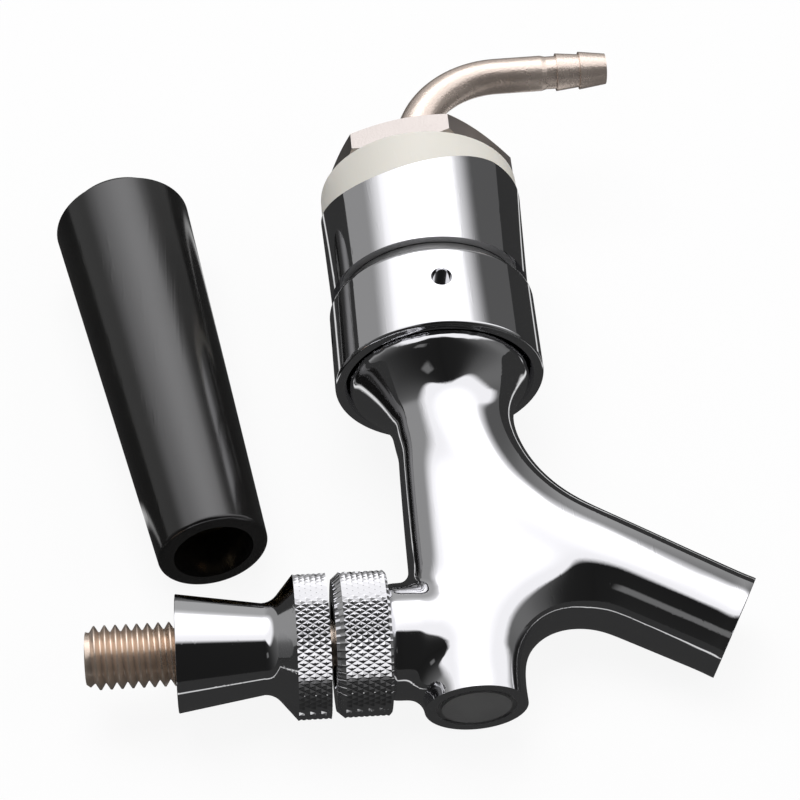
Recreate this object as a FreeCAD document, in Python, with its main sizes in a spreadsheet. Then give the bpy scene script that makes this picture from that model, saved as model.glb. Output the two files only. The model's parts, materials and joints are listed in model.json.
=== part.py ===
import FreeCAD, Part
import math
import os
import Sketcher

# Beer faucet with shank, lying on its side on a table, its lever handle taken off beside it.
# Faucet frame: the shank lies along Y (column side +Y), the lever points to -X, the spout to +X.
# Origin of that frame: where the lever's axis meets the shank's axis. Lengths in millimetres.

SIZES = {
    # Lever and its thread, 3/8 inch with 16 threads per inch
    "stud_radius": 4.7625,
    "stud_end": 57.2,
    "stud_chamfer": 1.2,
    "stud_free_start": 44.0,
    "stud_relief_width": 0.8,
    "stud_relief_radius": 4.1,
    "ball_centre": 12.4,
    "ball_radius": 6.35,
    "lever_neck_radius": 3.25,
    "lever_neck_top": 23.4,
    "lever_shoulder": 2.0,
    "stud_tip_radius": 3.9,
    "finger_radius": 1.8,
    "finger_ball_radius": 2.3,
    # Lever collar
    "collar_rim": 21.3,
    "collar_knurl_length": 4.9,
    "knurl_radius": 10.9,
    "collar_waist": 31.0,
    "collar_waist_radius": 6.83,
    "collar_cone_slope": 50.0,
    "collar_waist_arc": 2.97,
    "collar_mouth": 43.8,
    "collar_mouth_radius": 8.85,
    "collar_mouth_recess": 0.8,
    "collar_mouth_wall": 0.9,
    "collar_dome_clearance": 0.35,
    # Bonnet
    "bonnet_foot": 12.3,
    "bonnet_knurl_length": 6.95,
    "bonnet_chamfer_height": 1.2,
    "bonnet_chamfer_width": 1.05,
    "bonnet_lip": 5.9,
    "bonnet_mouth_slope": 21.0,
    "bonnet_edge": 0.4,
    # Neck of the body under the bonnet
    "neck_radius": 8.8,
    "neck_thread_radius": 8.1,
    "neck_top": 17.3,
    "neck_taper_start": 8.5,
    "neck_taper_arc": 22.1,
    "neck_root_radius": 7.1,
    "socket_clearance": 0.1,
    "finger_gap_radius": 4.6,
    "finger_gap_foot": 5.6,
    "finger_gap_depth": 2.0,
    "ball_washer_height": 1.5,
    "ball_washer_inner": 5.5,
    "friction_ring_height": 0.8,
    "friction_ring_inner": 5.7,
    # Barrel
    "boss_radius": 7.7,
    "boss_face": 11.5,
    "barrel_arc": 700.0,
    "barrel_radius": 7.95,
    "barrel_end": 33.0,
    "flare_radius": 13.4,
    "flare_end": 45.2,
    "flare_arc": 16.6,
    "body_flange_length": 1.6,
    "body_thread_radius": 14.0,
    "body_rear": 54.8,
    "plug_radius": 6.0,
    "plug_disc_radius": 5.2,
    "plug_clearance": 0.05,
    "plug_thickness": 2.8,
    "plug_groove_depth": 0.7,
    "bore_radius": 4.6,
    "chamber_start": 33.0,
    "chamber_radius": 5.0,
    "seat_plane": 45.6,
    "recess_radius": 8.4,
    # Spout
    "spout_offset": 1.2,
    "spout_start": 39.6,
    "spout_bend": 30.0,
    "spout_turn": 59.6,
    "spout_straight": 28.6,
    "spout_root_radius": 9.9,
    "spout_mid_radius": 8.9,
    "spout_tip_radius": 8.25,
    "spout_wall": 3.2,
    "spout_root_depth": 1.0,
    "crotch_fillet": 9.0,
    "neck_fillet": 3.0,
    # Valve shaft
    "shaft_clearance": 0.08,
    "shaft_front": 7.4,
    "shaft_nose_chamfer": 0.5,
    "shaft_guide_end": 5.6,
    "shaft_rod_radius": 2.4,
    "shaft_thread_radius": 2.0,
    "shaft_shoulder_radius": 3.6,
    "shaft_shoulder_length": 2.0,
    "shaft_cone_length": 2.2,
    "shaft_tail": 52.2,
    "slot_clearance": 0.12,
    "slot_depth": 3.0,
    "slot_straight": 1.2,
    "slot_mouth_radius": 3.9,
    "slot_mouth": 5.0,
    "seat_washer_radius": 6.2,
    "seat_washer_thickness": 2.6,
    "shaft_nut_flats": 7.0,
    "shaft_nut_thickness": 2.2,
    "shaft_nut_chamfer": 0.4,
    # Coupling nut
    "nut_front": 46.2,
    "nut_rear": 61.6,
    "nut_ring_wall": 3.1,
    "nut_edge_round": 1.1,
    "nut_front_round": 0.6,
    "nut_mouth_gap": 1.5,
    "nut_mouth_depth": 1.6,
    "nut_wall": 2.5,
    "thread_clearance": 0.08,
    "spanner_hole_radius": 1.7,
    "spanner_hole_place": 55.3,
    "spanner_hole_depth": 2.4,
    "spanner_hole_count": 4,
    # Shank and what sits on it
    "washer_thickness": 1.6,
    "washer_inset": 0.8,
    "flange_inset": 0.4,
    "shank_radius": 11.1,
    "shank_end": 91.6,
    "shank_bore": 5.0,
    "shank_mouth_radius": 8.0,
    "shank_mouth_depth": 2.0,
    "shank_chamfer": 0.8,
    "shank_bore_end": 80.0,
    "ring_radius": 15.0,
    "ring_thickness": 2.0,
    "slip_clearance": 0.3,
    "face_clearance": 0.1,
    # Saddle collar and washer, hollowed for a column of 76.2 mm
    "saddle_radius_front": 16.5,
    "saddle_radius_ear": 17.3,
    "saddle_line": 78.2,
    "saddle_wall": 2.0,
    "saddle_floor": 2.6,
    "saddle_turn": 33.0,
    "saddle_ear_flat": 0.3,
    "saddle_washer_hole": 11.9,
    "column_radius": 38.1,
    "column_wall": 1.65,
    "saddle_washer_radius": 17.0,
    "saddle_washer_back": 85.7,
    # Lock nut
    "lock_nut_flats": 29.2,
    "lock_nut_thickness": 5.3,
    "lock_nut_chamfer": 1.2,
    "lock_nut_turn": 15.0,
    # Elbow tailpiece
    "tube_radius": 3.175,
    "tube_bore": 2.35,
    "tube_depth": 8.0,
    "elbow_start": 95.8,
    "elbow_bend": 16.3,
    "elbow_neck": 24.6,
    "elbow_cone_length": 0.9,
    "elbow_first_barb": 27.4,
    "elbow_second_barb": 31.6,
    "elbow_end": 36.4,
    "barb_neck_radius": 2.95,
    "barb_radius": 3.4,
    "barb_tip_radius": 2.75,
    "elbow_turn": 3.5,
    # Handle
    "handle_length": 73.9,
    "handle_base_radius": 8.8,
    "handle_head_radius": 11.9,
    "handle_shoulder_height": 3.0,
    "handle_shoulder_inset": 2.6,
    "handle_shoulder_arc": 4.4,
    "handle_crown_height": 5.2,
    "handle_crown_arc": 22.5,
    "handle_rim_round": 0.7,
    "handle_recess_radius": 6.4,
    "handle_recess_depth": 26.0,
    "insert_start": 9.0,
    "insert_length": 15.0,
    "insert_lead": 0.8,
    "insert_clearance": 0.05,
    "handle_place_x": -38.1,
    "handle_place_y": 20.85,
    "handle_heading": 11.3,
    # How far a cutting shape reaches past the faces that it cuts
    "cut_margin": 0.3,
}

SHEET_NAME = "Sizes"
SAME_PLACE = 1e-3
LEAST_CHANGE = 1.0
SPOUT_BEND_STEPS = 6
SPOUT_STRAIGHT_STEPS = 4
SEAM_LENGTH = 3.0
SEAM_SLACK = 1.0
SETTLING_STEPS = 60


class Dim:
    """A length with its value and the expression of the sheet's cells that gives it."""

    def __init__(self, value, text):
        self.value = float(value)
        self.text = text

    def __add__(self, other):
        other = as_dim(other)
        return Dim(self.value + other.value, f"({self.text} + {other.text})")

    def __sub__(self, other):
        other = as_dim(other)
        return Dim(self.value - other.value, f"({self.text} - {other.text})")

    def __mul__(self, other):
        other = as_dim(other)
        return Dim(self.value * other.value, f"({self.text} * {other.text})")

    def __truediv__(self, other):
        other = as_dim(other)
        return Dim(self.value / other.value, f"({self.text} / {other.text})")

    def __neg__(self):
        return Dim(-self.value, f"(-1 * {self.text})")

    __radd__ = __add__
    __rmul__ = __mul__

    def __rsub__(self, other):
        return as_dim(other) - self


def as_dim(number):
    return number if isinstance(number, Dim) else Dim(number, repr(float(number)))


def root(dim):
    return Dim(math.sqrt(dim.value), f"sqrt({dim.text})")


def sine(dim):
    return Dim(math.sin(math.radians(dim.value)), f"sin({dim.text})")


def cosine(dim):
    return Dim(math.cos(math.radians(dim.value)), f"cos({dim.text})")


def tangent(dim):
    return Dim(math.tan(math.radians(dim.value)), f"tan({dim.text})")


def height_on(sphere, radius):
    """Height over a sphere's centre at which it has a radius."""
    return root(sphere * sphere - radius * radius)


def slant(height, radius):
    return root(height * height + radius * radius)


doc = FreeCAD.newDocument("faucet")
sheet = doc.addObject("Spreadsheet::Sheet", SHEET_NAME)
for row, (alias, number) in enumerate(SIZES.items(), start=1):
    sheet.set(f"A{row}", alias)
    sheet.set(f"B{row}", str(number))
    sheet.setAlias(f"B{row}", alias)
doc.recompute()


def size(alias):
    return Dim(sheet.get(alias), f"{SHEET_NAME}.{alias}")


# Helpers for sketches and features

def origin_plane(body, role):
    return next(item for item in body.Origin.OriginFeatures if item.Role == role)


def new_body(name):
    body = doc.addObject("PartDesign::Body", name)
    body.Label = name
    return body


def new_sketch(body, name, role="XY_Plane"):
    sketch = body.newObject("Sketcher::SketchObject", name)
    sketch.AttachmentSupport = [(origin_plane(body, role), "")]
    sketch.MapMode = "FlatFace"
    return sketch


def pin_coordinate(sketch, kind, geometry, vertex, dim):
    """Fix one coordinate of a vertex to an expression of the sheet."""
    if abs(dim.value) < 1e-9:
        axis = -2 if kind == "DistanceX" else -1
        sketch.addConstraint(Sketcher.Constraint("PointOnObject", geometry, vertex, axis))
        return
    if dim.value > 0:
        constraint = Sketcher.Constraint(kind, -1, 1, geometry, vertex, dim.value)
    else:
        dim = -dim
        constraint = Sketcher.Constraint(kind, geometry, vertex, -1, 1, dim.value)
    index = sketch.addConstraint(constraint)
    sketch.setExpression(f"Constraints[{index}]", dim.text)


def arc_between(start, end, radius):
    """Arc from start to end; a positive radius bends it to the left of the way along it."""
    chord = end - start
    half = chord.Length / 2
    height = math.sqrt(max(radius * radius - half * half, 0.0))
    left = FreeCAD.Vector(-chord.y, chord.x, 0).normalize()
    centre = (start + end) * 0.5 + left * (height if radius > 0 else -height)
    circle = Part.Circle(centre, FreeCAD.Vector(0, 0, 1), abs(radius))
    if radius > 0:
        return Part.ArcOfCircle(circle, circle.parameter(start), circle.parameter(end)), 1, 2
    return Part.ArcOfCircle(circle, circle.parameter(end), circle.parameter(start)), 2, 1


def draw_profile(sketch, corners):
    """Closed outline; a corner is (x, y) or (x, y, radius of the arc that leaves it)."""
    points = [FreeCAD.Vector(as_dim(c[0]).value, as_dim(c[1]).value, 0) for c in corners]
    ends = []
    for index, corner in enumerate(corners):
        start = points[index]
        end = points[(index + 1) % len(points)]
        if len(corner) == 3:
            shape, first, last = arc_between(start, end, as_dim(corner[2]).value)
        else:
            shape, first, last = Part.LineSegment(start, end), 1, 2
        ends.append((sketch.addGeometry(shape, False), first, last))
    for index, (geometry, first, last) in enumerate(ends):
        following, following_first, _ = ends[(index + 1) % len(ends)]
        sketch.addConstraint(
            Sketcher.Constraint("Coincident", geometry, last, following, following_first))
    for (geometry, first, _), corner in zip(ends, corners):
        pin_coordinate(sketch, "DistanceX", geometry, first, as_dim(corner[0]))
        pin_coordinate(sketch, "DistanceY", geometry, first, as_dim(corner[1]))
        if len(corner) == 3:
            radius = as_dim(corner[2])
            radius = radius if radius.value > 0 else -radius
            index = sketch.addConstraint(Sketcher.Constraint("Radius", geometry, radius.value))
            sketch.setExpression(f"Constraints[{index}]", radius.text)


def draw_circle(sketch, centre_x, centre_y, radius):
    centre_x, centre_y, radius = as_dim(centre_x), as_dim(centre_y), as_dim(radius)
    centre = FreeCAD.Vector(centre_x.value, centre_y.value, 0)
    circle = Part.Circle(centre, FreeCAD.Vector(0, 0, 1), radius.value)
    geometry = sketch.addGeometry(circle, False)
    pin_coordinate(sketch, "DistanceX", geometry, 3, centre_x)
    pin_coordinate(sketch, "DistanceY", geometry, 3, centre_y)
    index = sketch.addConstraint(Sketcher.Constraint("Radius", geometry, radius.value))
    sketch.setExpression(f"Constraints[{index}]", radius.text)


def along_shank(corners):
    """Corners (place along the shank, radius, arc) for a profile turned about Y."""
    return [(c[1], c[0]) + tuple(c[2:]) for c in corners]


def along_lever(corners):
    """Corners (height on the lever's axis, radius, arc) for a profile turned about X."""
    return [(-as_dim(c[0]), c[1]) + tuple(c[2:]) for c in corners]


def turn(body, name, corners, axis, kind="PartDesign::Revolution"):
    """Turn a profile about the shank's axis or the lever's axis."""
    sketch = new_sketch(body, name + "_profile")
    draw_profile(sketch, along_shank(corners) if axis == "shank" else along_lever(corners))
    before = body.Shape.Volume if kind == "PartDesign::Groove" else 0
    feature = body.newObject(kind, name)
    feature.Profile = (sketch, [""])
    feature.ReferenceAxis = (sketch, ["V_Axis" if axis == "shank" else "H_Axis"])
    feature.Angle = 360
    doc.recompute()
    if kind == "PartDesign::Groove" and body.Shape.Volume >= before:
        raise RuntimeError(f"{name} cuts nothing")
    return feature


def groove(body, name, corners, axis):
    return turn(body, name, corners, axis, "PartDesign::Groove")


def turned_body(name, corners, axis):
    body = new_body(name)
    turn(body, name + "_turning", corners, axis)
    return body


def cut_both_ways(body, name, sketch):
    """Cut a drawn shape right through the body, to both sides of its plane."""
    before = body.Shape.Volume
    pocket = body.newObject("PartDesign::Pocket", name)
    pocket.Profile = (sketch, [""])
    pocket.Type = 1
    pocket.Midplane = True
    doc.recompute()
    if body.Shape.Volume >= before:
        raise RuntimeError(f"{name} cuts nothing")
    return pocket


def round_edges(body, name, wanted, radius, kind="PartDesign::Fillet"):
    """Fillet or chamfer the edges that the test picks from the body's last feature."""
    base = body.Tip
    names = [f"Edge{i}" for i, edge in enumerate(base.Shape.Edges, start=1) if wanted(edge)]
    if not names:
        raise RuntimeError(f"{name} finds no edge")
    feature = body.newObject(kind, name)
    feature.Base = (base, names)
    if kind == "PartDesign::Fillet":
        feature.Radius = radius.value
        feature.setExpression("Radius", radius.text)
    else:
        feature.Size = radius.value
        feature.setExpression("Size", radius.text)
    doc.recompute()
    return feature


def ring_edge(axis, place, radius):
    """Test for a full circle round the shank's or the lever's axis."""
    def wanted(edge):
        if edge.Degenerated or not isinstance(edge.Curve, Part.Circle):
            return False
        centre = edge.Curve.Center
        along, off = (centre.y, centre.x) if axis == "shank" else (-centre.x, centre.y)
        on_axis = math.hypot(off, centre.z) < SAME_PLACE
        same_radius = abs(edge.Curve.Radius - radius.value) < SAME_PLACE
        return on_axis and same_radius and abs(along - place.value) < SAME_PLACE
    return wanted


# Places shared by pieces that fit together

ball_centre = size("ball_centre")
ball_radius = size("ball_radius")
knurl_radius = size("knurl_radius")
face_clearance = size("face_clearance")
thread_clearance = size("thread_clearance")
socket_radius = ball_radius + size("socket_clearance")
seal_foot = ball_centre + height_on(ball_radius, size("ball_washer_inner")) + face_clearance
seal_head = seal_foot + size("ball_washer_height")
friction_head = seal_head + size("friction_ring_height")
bonnet_foot = size("bonnet_foot")
bonnet_knurl_end = bonnet_foot + size("bonnet_knurl_length")
bonnet_top = bonnet_knurl_end + size("bonnet_chamfer_height")
bonnet_top_radius = knurl_radius - size("bonnet_chamfer_width")
neck_thread_bore = size("neck_thread_radius") + thread_clearance
collar_rim = size("collar_rim")
collar_knurl_end = collar_rim + size("collar_knurl_length")
dome_radius = slant(bonnet_top - ball_centre, bonnet_top_radius) + size("collar_dome_clearance")
stud_bore = size("stud_radius") + thread_clearance
shaft_radius = size("bore_radius") - size("shaft_clearance")
seat_plane = size("seat_plane")
seat_washer_foot = seat_plane + face_clearance
seat_washer_head = seat_washer_foot + size("seat_washer_thickness")
shaft_thread_bore = size("shaft_thread_radius") + thread_clearance
slot_radius = size("finger_ball_radius") + size("slot_clearance")
flange_front = size("body_rear") + size("washer_thickness")
nut_rear = size("nut_rear")
nut_inner_wall = nut_rear - size("nut_wall")
flange_back = nut_inner_wall - face_clearance
body_thread_radius = size("body_thread_radius")
body_thread_bore = body_thread_radius + thread_clearance
nut_radius = body_thread_radius + size("nut_ring_wall")
shank_hole = size("shank_radius") + size("slip_clearance")
ring_front = nut_rear + face_clearance
ring_back = ring_front + size("ring_thickness")
saddle_front = ring_back + face_clearance
lock_front = size("saddle_washer_back") + face_clearance
tube_hole = size("tube_radius") + size("insert_clearance")


# Spout: round sections along a curved centre line

def spout_point(share):
    """Centre of the spout's curved part at a share of its whole turn, and the turn there."""
    angle = size("spout_turn") * share
    across = size("spout_offset") + size("spout_bend") * (1 - cosine(angle))
    along = size("spout_start") - size("spout_bend") * sine(angle)
    return across, along, angle


def spout_straight_point(share):
    """Centre of the spout at a share of its straight part's length."""
    across, along, angle = spout_point(1)
    reach = size("spout_straight") * share
    return across + reach * sine(angle), along - reach * cosine(angle), angle


def spout_tip():
    return spout_straight_point(1)


def spout_section(body, name, place, radius):
    """Round section of the spout, square to its centre line."""
    across, along, angle = place
    sketch = new_sketch(body, name, "XZ_Plane")
    position = FreeCAD.Vector(across.value, 0, -along.value)
    rotation = FreeCAD.Rotation(FreeCAD.Vector(0, 1, 0), angle.value)
    sketch.AttachmentOffset = FreeCAD.Placement(position, rotation)
    sketch.setExpression("AttachmentOffset.Base.x", across.text)
    sketch.setExpression("AttachmentOffset.Base.z", (-along).text)
    sketch.setExpression("AttachmentOffset.Rotation.Angle", angle.text)
    draw_circle(sketch, 0, 0, radius)
    return sketch


def spout_loft(body, name, kind, wall, rooted):
    """The spout, thick at its root and slim at its tip, or with a wall the bore inside it."""
    root_radius = size("spout_root_radius") - wall
    mid_radius = size("spout_mid_radius") - wall
    tip_radius = size("spout_tip_radius") - wall
    sections = []
    if rooted:
        root_place = (size("spout_offset"), size("flare_end") - size("spout_root_depth"), as_dim(0))
        sections.append(spout_section(body, f"{name}_root", root_place, root_radius))
    for step in range(SPOUT_BEND_STEPS + 1):
        share = step / SPOUT_BEND_STEPS
        radius = root_radius + (mid_radius - root_radius) * share
        sections.append(spout_section(body, f"{name}_{step}", spout_point(share), radius))
    for step in range(1, SPOUT_STRAIGHT_STEPS + 1):
        share = step / SPOUT_STRAIGHT_STEPS
        radius = mid_radius + (tip_radius - mid_radius) * share
        place = spout_straight_point(share)
        sections.append(spout_section(body, f"{name}_straight_{step}", place, radius))
    before = body.Shape.Volume
    feature = body.newObject(kind, name)
    feature.Profile = (sections[0], [""])
    feature.Sections = [(section, [""]) for section in sections[1:]]
    doc.recompute()
    if abs(body.Shape.Volume - before) < LEAST_CHANGE:
        raise RuntimeError(f"{name} changes nothing")


# Faucet body, one chromed forging

def is_crotch(edge):
    """The seams where the spout grows out of the barrel and its flare."""
    box = edge.BoundBox
    clear_of_neck = box.YMin > SEAM_LENGTH and box.XMax < size("flare_radius").value
    long_enough = box.XMin < -SEAM_LENGTH and box.YMax - box.YMin > SEAM_LENGTH
    return isinstance(edge.Curve, Part.BSplineCurve) and clear_of_neck and long_enough


def is_neck_seam(edge):
    """The seam where the lever's neck grows out of the barrel."""
    box = edge.BoundBox
    reach = size("neck_radius").value + SEAM_SLACK
    near_lever_axis = box.XMax < SEAM_SLACK and box.YMin > -reach and box.YMax < reach
    return isinstance(edge.Curve, Part.BSplineCurve) and near_lever_axis


def make_faucet_body():
    body = new_body("faucet_body")
    front = -size("boss_face")
    flange_end = size("flare_end") + size("body_flange_length")
    body_rear = size("body_rear")
    turn(body, "barrel", [
        (front, 0),
        (front, size("boss_radius"), size("barrel_arc")),
        (size("barrel_end"), size("barrel_radius"), -size("flare_arc")),
        (size("flare_end"), size("flare_radius")),
        (flange_end, size("flare_radius")),
        (flange_end, body_thread_radius),
        (body_rear, body_thread_radius),
        (body_rear, 0),
    ], "shank")
    spout_loft(body, "spout", "PartDesign::AdditiveLoft", as_dim(0), True)
    neck_radius = size("neck_radius")
    neck_top = size("neck_top")
    thread_foot = bonnet_foot - face_clearance
    turn(body, "neck", [
        (0, 0),
        (neck_top, 0),
        (neck_top, size("neck_thread_radius")),
        (thread_foot, size("neck_thread_radius")),
        (thread_foot, neck_radius),
        (size("neck_taper_start"), neck_radius, -size("neck_taper_arc")),
        (0, size("neck_root_radius")),
    ], "lever")
    round_edges(body, "crotch", is_crotch, size("crotch_fillet"))
    round_edges(body, "neck_root", is_neck_seam, size("neck_fillet"))
    plug_seat = front + size("plug_thickness")
    bore = size("bore_radius")
    chamber = size("chamber_radius")
    groove(body, "waterway", [
        (front, 0),
        (front, size("plug_radius")),
        (plug_seat, size("plug_radius")),
        (plug_seat, bore),
        (size("chamber_start"), bore),
        (size("chamber_start") + (chamber - bore), chamber),
        (seat_plane, chamber),
        (seat_plane, size("recess_radius")),
        (body_rear, size("recess_radius")),
        (body_rear, 0),
    ], "shank")
    spout_loft(body, "spout_bore", "PartDesign::SubtractiveLoft", size("spout_wall"), False)
    gap = size("finger_gap_radius")
    groove(body, "socket", [
        (size("finger_gap_depth"), 0),
        (size("finger_gap_depth"), size("finger_gap_foot")),
        (ball_centre - height_on(socket_radius, gap), gap, socket_radius),
        (ball_centre, socket_radius),
        (neck_top, socket_radius),
        (neck_top, 0),
    ], "lever")
    return body


def make_front_plug():
    front = -size("boss_face")
    edge = size("plug_radius") - size("plug_clearance")
    return turned_body("front_plug", [
        (front, 0),
        (front, size("plug_disc_radius")),
        (front + size("plug_groove_depth"), size("plug_disc_radius")),
        (front + size("plug_groove_depth"), edge),
        (front + size("plug_thickness"), edge),
        (front + size("plug_thickness"), 0),
    ], "shank")


# Valve: a shaft that the lever's finger slides along the barrel, with its seat washer

def make_valve_shaft():
    body = new_body("valve_shaft")
    front = -size("shaft_front")
    edge = size("shaft_nose_chamfer")
    rod = size("shaft_rod_radius")
    guide_end = size("shaft_guide_end")
    shoulder = size("shaft_shoulder_radius")
    turn(body, "shaft_turning", [
        (front, 0),
        (front, shaft_radius - edge),
        (front + edge, shaft_radius),
        (guide_end, shaft_radius),
        (guide_end + size("shaft_cone_length"), rod),
        (seat_washer_foot - size("shaft_shoulder_length"), rod),
        (seat_washer_foot - size("shaft_shoulder_length"), shoulder),
        (seat_washer_foot, shoulder),
        (seat_washer_foot, size("shaft_thread_radius")),
        (size("shaft_tail"), size("shaft_thread_radius")),
        (size("shaft_tail"), 0),
    ], "shank")
    groove(body, "finger_slot", [
        (-size("slot_depth"), 0),
        (-size("slot_depth"), slot_radius),
        (size("slot_straight"), slot_radius),
        (size("slot_mouth"), size("slot_mouth_radius")),
        (size("slot_mouth"), 0),
    ], "lever")
    return body


def make_ring(name, start, end, inner, outer, axis="shank"):
    """Plain washer or ring."""
    return turned_body(name, [(start, inner), (start, outer), (end, outer), (end, inner)], axis)


def hexagon(flats):
    """Corners of a hexagon whose flats are so far apart."""
    corner = flats / (2 * cosine(as_dim(30)))
    return [(corner * cosine(as_dim(60 * k)), corner * sine(as_dim(60 * k))) for k in range(6)]


def make_hex_nut(name, start, thickness, flats, bore, chamfer):
    """Hexagon nut on the shank's axis, its corners turned down at both faces."""
    body = new_body(name)
    sketch = new_sketch(body, name + "_outline", "XZ_Plane")
    sketch.AttachmentOffset = FreeCAD.Placement(
        FreeCAD.Vector(0, 0, -start.value), FreeCAD.Rotation())
    sketch.setExpression("AttachmentOffset.Base.z", (-start).text)
    draw_profile(sketch, hexagon(flats))
    draw_circle(sketch, 0, 0, bore)
    pad = body.newObject("PartDesign::Pad", name + "_pad")
    pad.Profile = (sketch, [""])
    pad.Length = thickness.value
    pad.setExpression("Length", thickness.text)
    pad.Reversed = True
    doc.recompute()
    flat = flats / 2
    corner = flats / (2 * cosine(as_dim(30))) + size("cut_margin")
    end = start + thickness
    groove(body, name + "_front_chamfer",
           [(start, flat), (start, corner), (start + chamfer, corner)], "shank")
    groove(body, name + "_back_chamfer",
           [(end, flat), (end - chamfer, corner), (end, corner)], "shank")
    return body


# Lever: finger, ball and threaded stud in one piece, standing along -X

def make_lever():
    finger = size("finger_radius")
    tip = size("finger_ball_radius")
    neck = size("lever_neck_radius")
    neck_top = size("lever_neck_top")
    stud = size("stud_radius")
    free = size("stud_free_start")
    relief = free - size("stud_relief_width")
    relief_radius = size("stud_relief_radius")
    end = size("stud_end")
    return turned_body("lever", [
        (-tip, 0, tip),
        (height_on(tip, finger), finger),
        (ball_centre - height_on(ball_radius, finger), finger, ball_radius),
        (ball_centre + height_on(ball_radius, neck), neck),
        (neck_top, neck),
        (neck_top + size("lever_shoulder"), stud),
        (relief, stud),
        (relief, relief_radius),
        (free, relief_radius),
        (free, stud),
        (end - size("stud_chamfer"), stud),
        (end, size("stud_tip_radius")),
        (end, 0),
    ], "lever")


def make_lever_collar():
    """Knurled rim, cone, waist and flared mouth, hollowed below to swing over the bonnet."""
    waist = size("collar_waist")
    waist_radius = size("collar_waist_radius")
    arc = size("collar_waist_arc")
    slope = size("collar_cone_slope")
    mouth = size("collar_mouth")
    mouth_radius = size("collar_mouth_radius")
    inner_mouth = mouth_radius - size("collar_mouth_wall")
    recess = mouth - size("collar_mouth_recess")
    return turned_body("lever_collar", [
        (collar_rim, height_on(dome_radius, collar_rim - ball_centre)),
        (collar_rim, knurl_radius),
        (collar_knurl_end, knurl_radius),
        (waist - arc * sine(slope), waist_radius + arc * (1 - cosine(slope)), -arc),
        (waist, waist_radius),
        (mouth, mouth_radius),
        (mouth, inner_mouth),
        (recess, inner_mouth),
        (recess, stud_bore),
        (ball_centre + height_on(dome_radius, stud_bore), stud_bore, -dome_radius),
    ], "lever")


def make_bonnet():
    edge = size("bonnet_edge")
    lip = size("bonnet_lip")
    lip_foot = friction_head + face_clearance
    lip_top = lip + (bonnet_top - lip_foot) * tangent(size("bonnet_mouth_slope"))
    step = size("neck_top") + face_clearance
    return turned_body("bonnet", [
        (bonnet_foot, neck_thread_bore),
        (bonnet_foot, knurl_radius - edge),
        (bonnet_foot + edge, knurl_radius),
        (bonnet_knurl_end, knurl_radius),
        (bonnet_top, bonnet_top_radius),
        (bonnet_top, lip_top),
        (lip_foot, lip),
        (lip_foot, socket_radius),
        (step, socket_radius),
        (step, neck_thread_bore),
    ], "lever")


# Coupling nut with spanner holes, and the shank that it draws on to the body

def make_coupling_nut():
    body = new_body("coupling_nut")
    front = size("nut_front")
    turn(body, "nut_turning", [
        (front, body_thread_radius + size("nut_mouth_gap")),
        (front, nut_radius),
        (nut_rear, nut_radius),
        (nut_rear, shank_hole),
        (nut_inner_wall, shank_hole),
        (nut_inner_wall, body_thread_bore),
        (front + size("nut_mouth_depth"), body_thread_bore),
    ], "shank")
    round_edges(body, "rear_round", ring_edge("shank", nut_rear, nut_radius), size("nut_edge_round"))
    round_edges(body, "front_round", ring_edge("shank", front, nut_radius), size("nut_front_round"))
    floor = nut_radius - size("spanner_hole_depth")
    sketch = new_sketch(body, "spanner_hole_circle")
    sketch.AttachmentOffset = FreeCAD.Placement(
        FreeCAD.Vector(0, 0, floor.value), FreeCAD.Rotation())
    sketch.setExpression("AttachmentOffset.Base.z", floor.text)
    draw_circle(sketch, 0, size("spanner_hole_place"), size("spanner_hole_radius"))
    before = body.Shape.Volume
    hole = body.newObject("PartDesign::Pocket", "spanner_hole")
    hole.Profile = (sketch, [""])
    hole.Type = 1
    hole.Reversed = True
    doc.recompute()
    holes = body.newObject("PartDesign::PolarPattern", "spanner_holes")
    holes.Originals = [hole]
    holes.Axis = (origin_plane(body, "Y_Axis"), [""])
    holes.Angle = 360
    holes.Occurrences = int(SIZES["spanner_hole_count"])
    holes.setExpression("Occurrences", f"{SHEET_NAME}.spanner_hole_count")
    body.Tip = holes
    doc.recompute()
    if body.Shape.Volume >= before:
        raise RuntimeError("the spanner holes cut nothing")
    return body


def make_shank():
    outer = size("shank_radius")
    flange_radius = body_thread_radius - size("flange_inset")
    end = size("shank_end")
    chamfer = size("shank_chamfer")
    bore = size("shank_bore")
    bore_end = size("shank_bore_end")
    return turned_body("shank", [
        (flange_front, size("shank_mouth_radius")),
        (flange_front, flange_radius),
        (flange_back, flange_radius),
        (flange_back, outer),
        (end - chamfer, outer),
        (end, outer - chamfer),
        (end, tube_hole),
        (bore_end, tube_hole),
        (bore_end, bore),
        (flange_front + size("shank_mouth_depth"), bore),
    ], "shank")


# Saddle pieces, modelled with the column along Z and turned about the shank afterwards

def make_saddle_collar():
    ear_radius = size("saddle_radius_ear")
    column = size("column_radius")
    line = size("saddle_line")
    wall = size("saddle_wall")
    front_radius = size("saddle_radius_front")
    floor = saddle_front + size("saddle_floor")
    top = line + column - height_on(column, ear_radius) - size("saddle_ear_flat")
    body = turned_body("saddle_collar", [
        (saddle_front, shank_hole),
        (saddle_front, front_radius),
        (top, ear_radius),
        (top, ear_radius - wall),
        (floor, front_radius - wall),
        (floor, shank_hole),
    ], "shank")
    sketch = new_sketch(body, "column_outline")
    draw_circle(sketch, 0, line + column, column)
    cut_both_ways(body, "column_cut", sketch)
    return body


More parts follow.
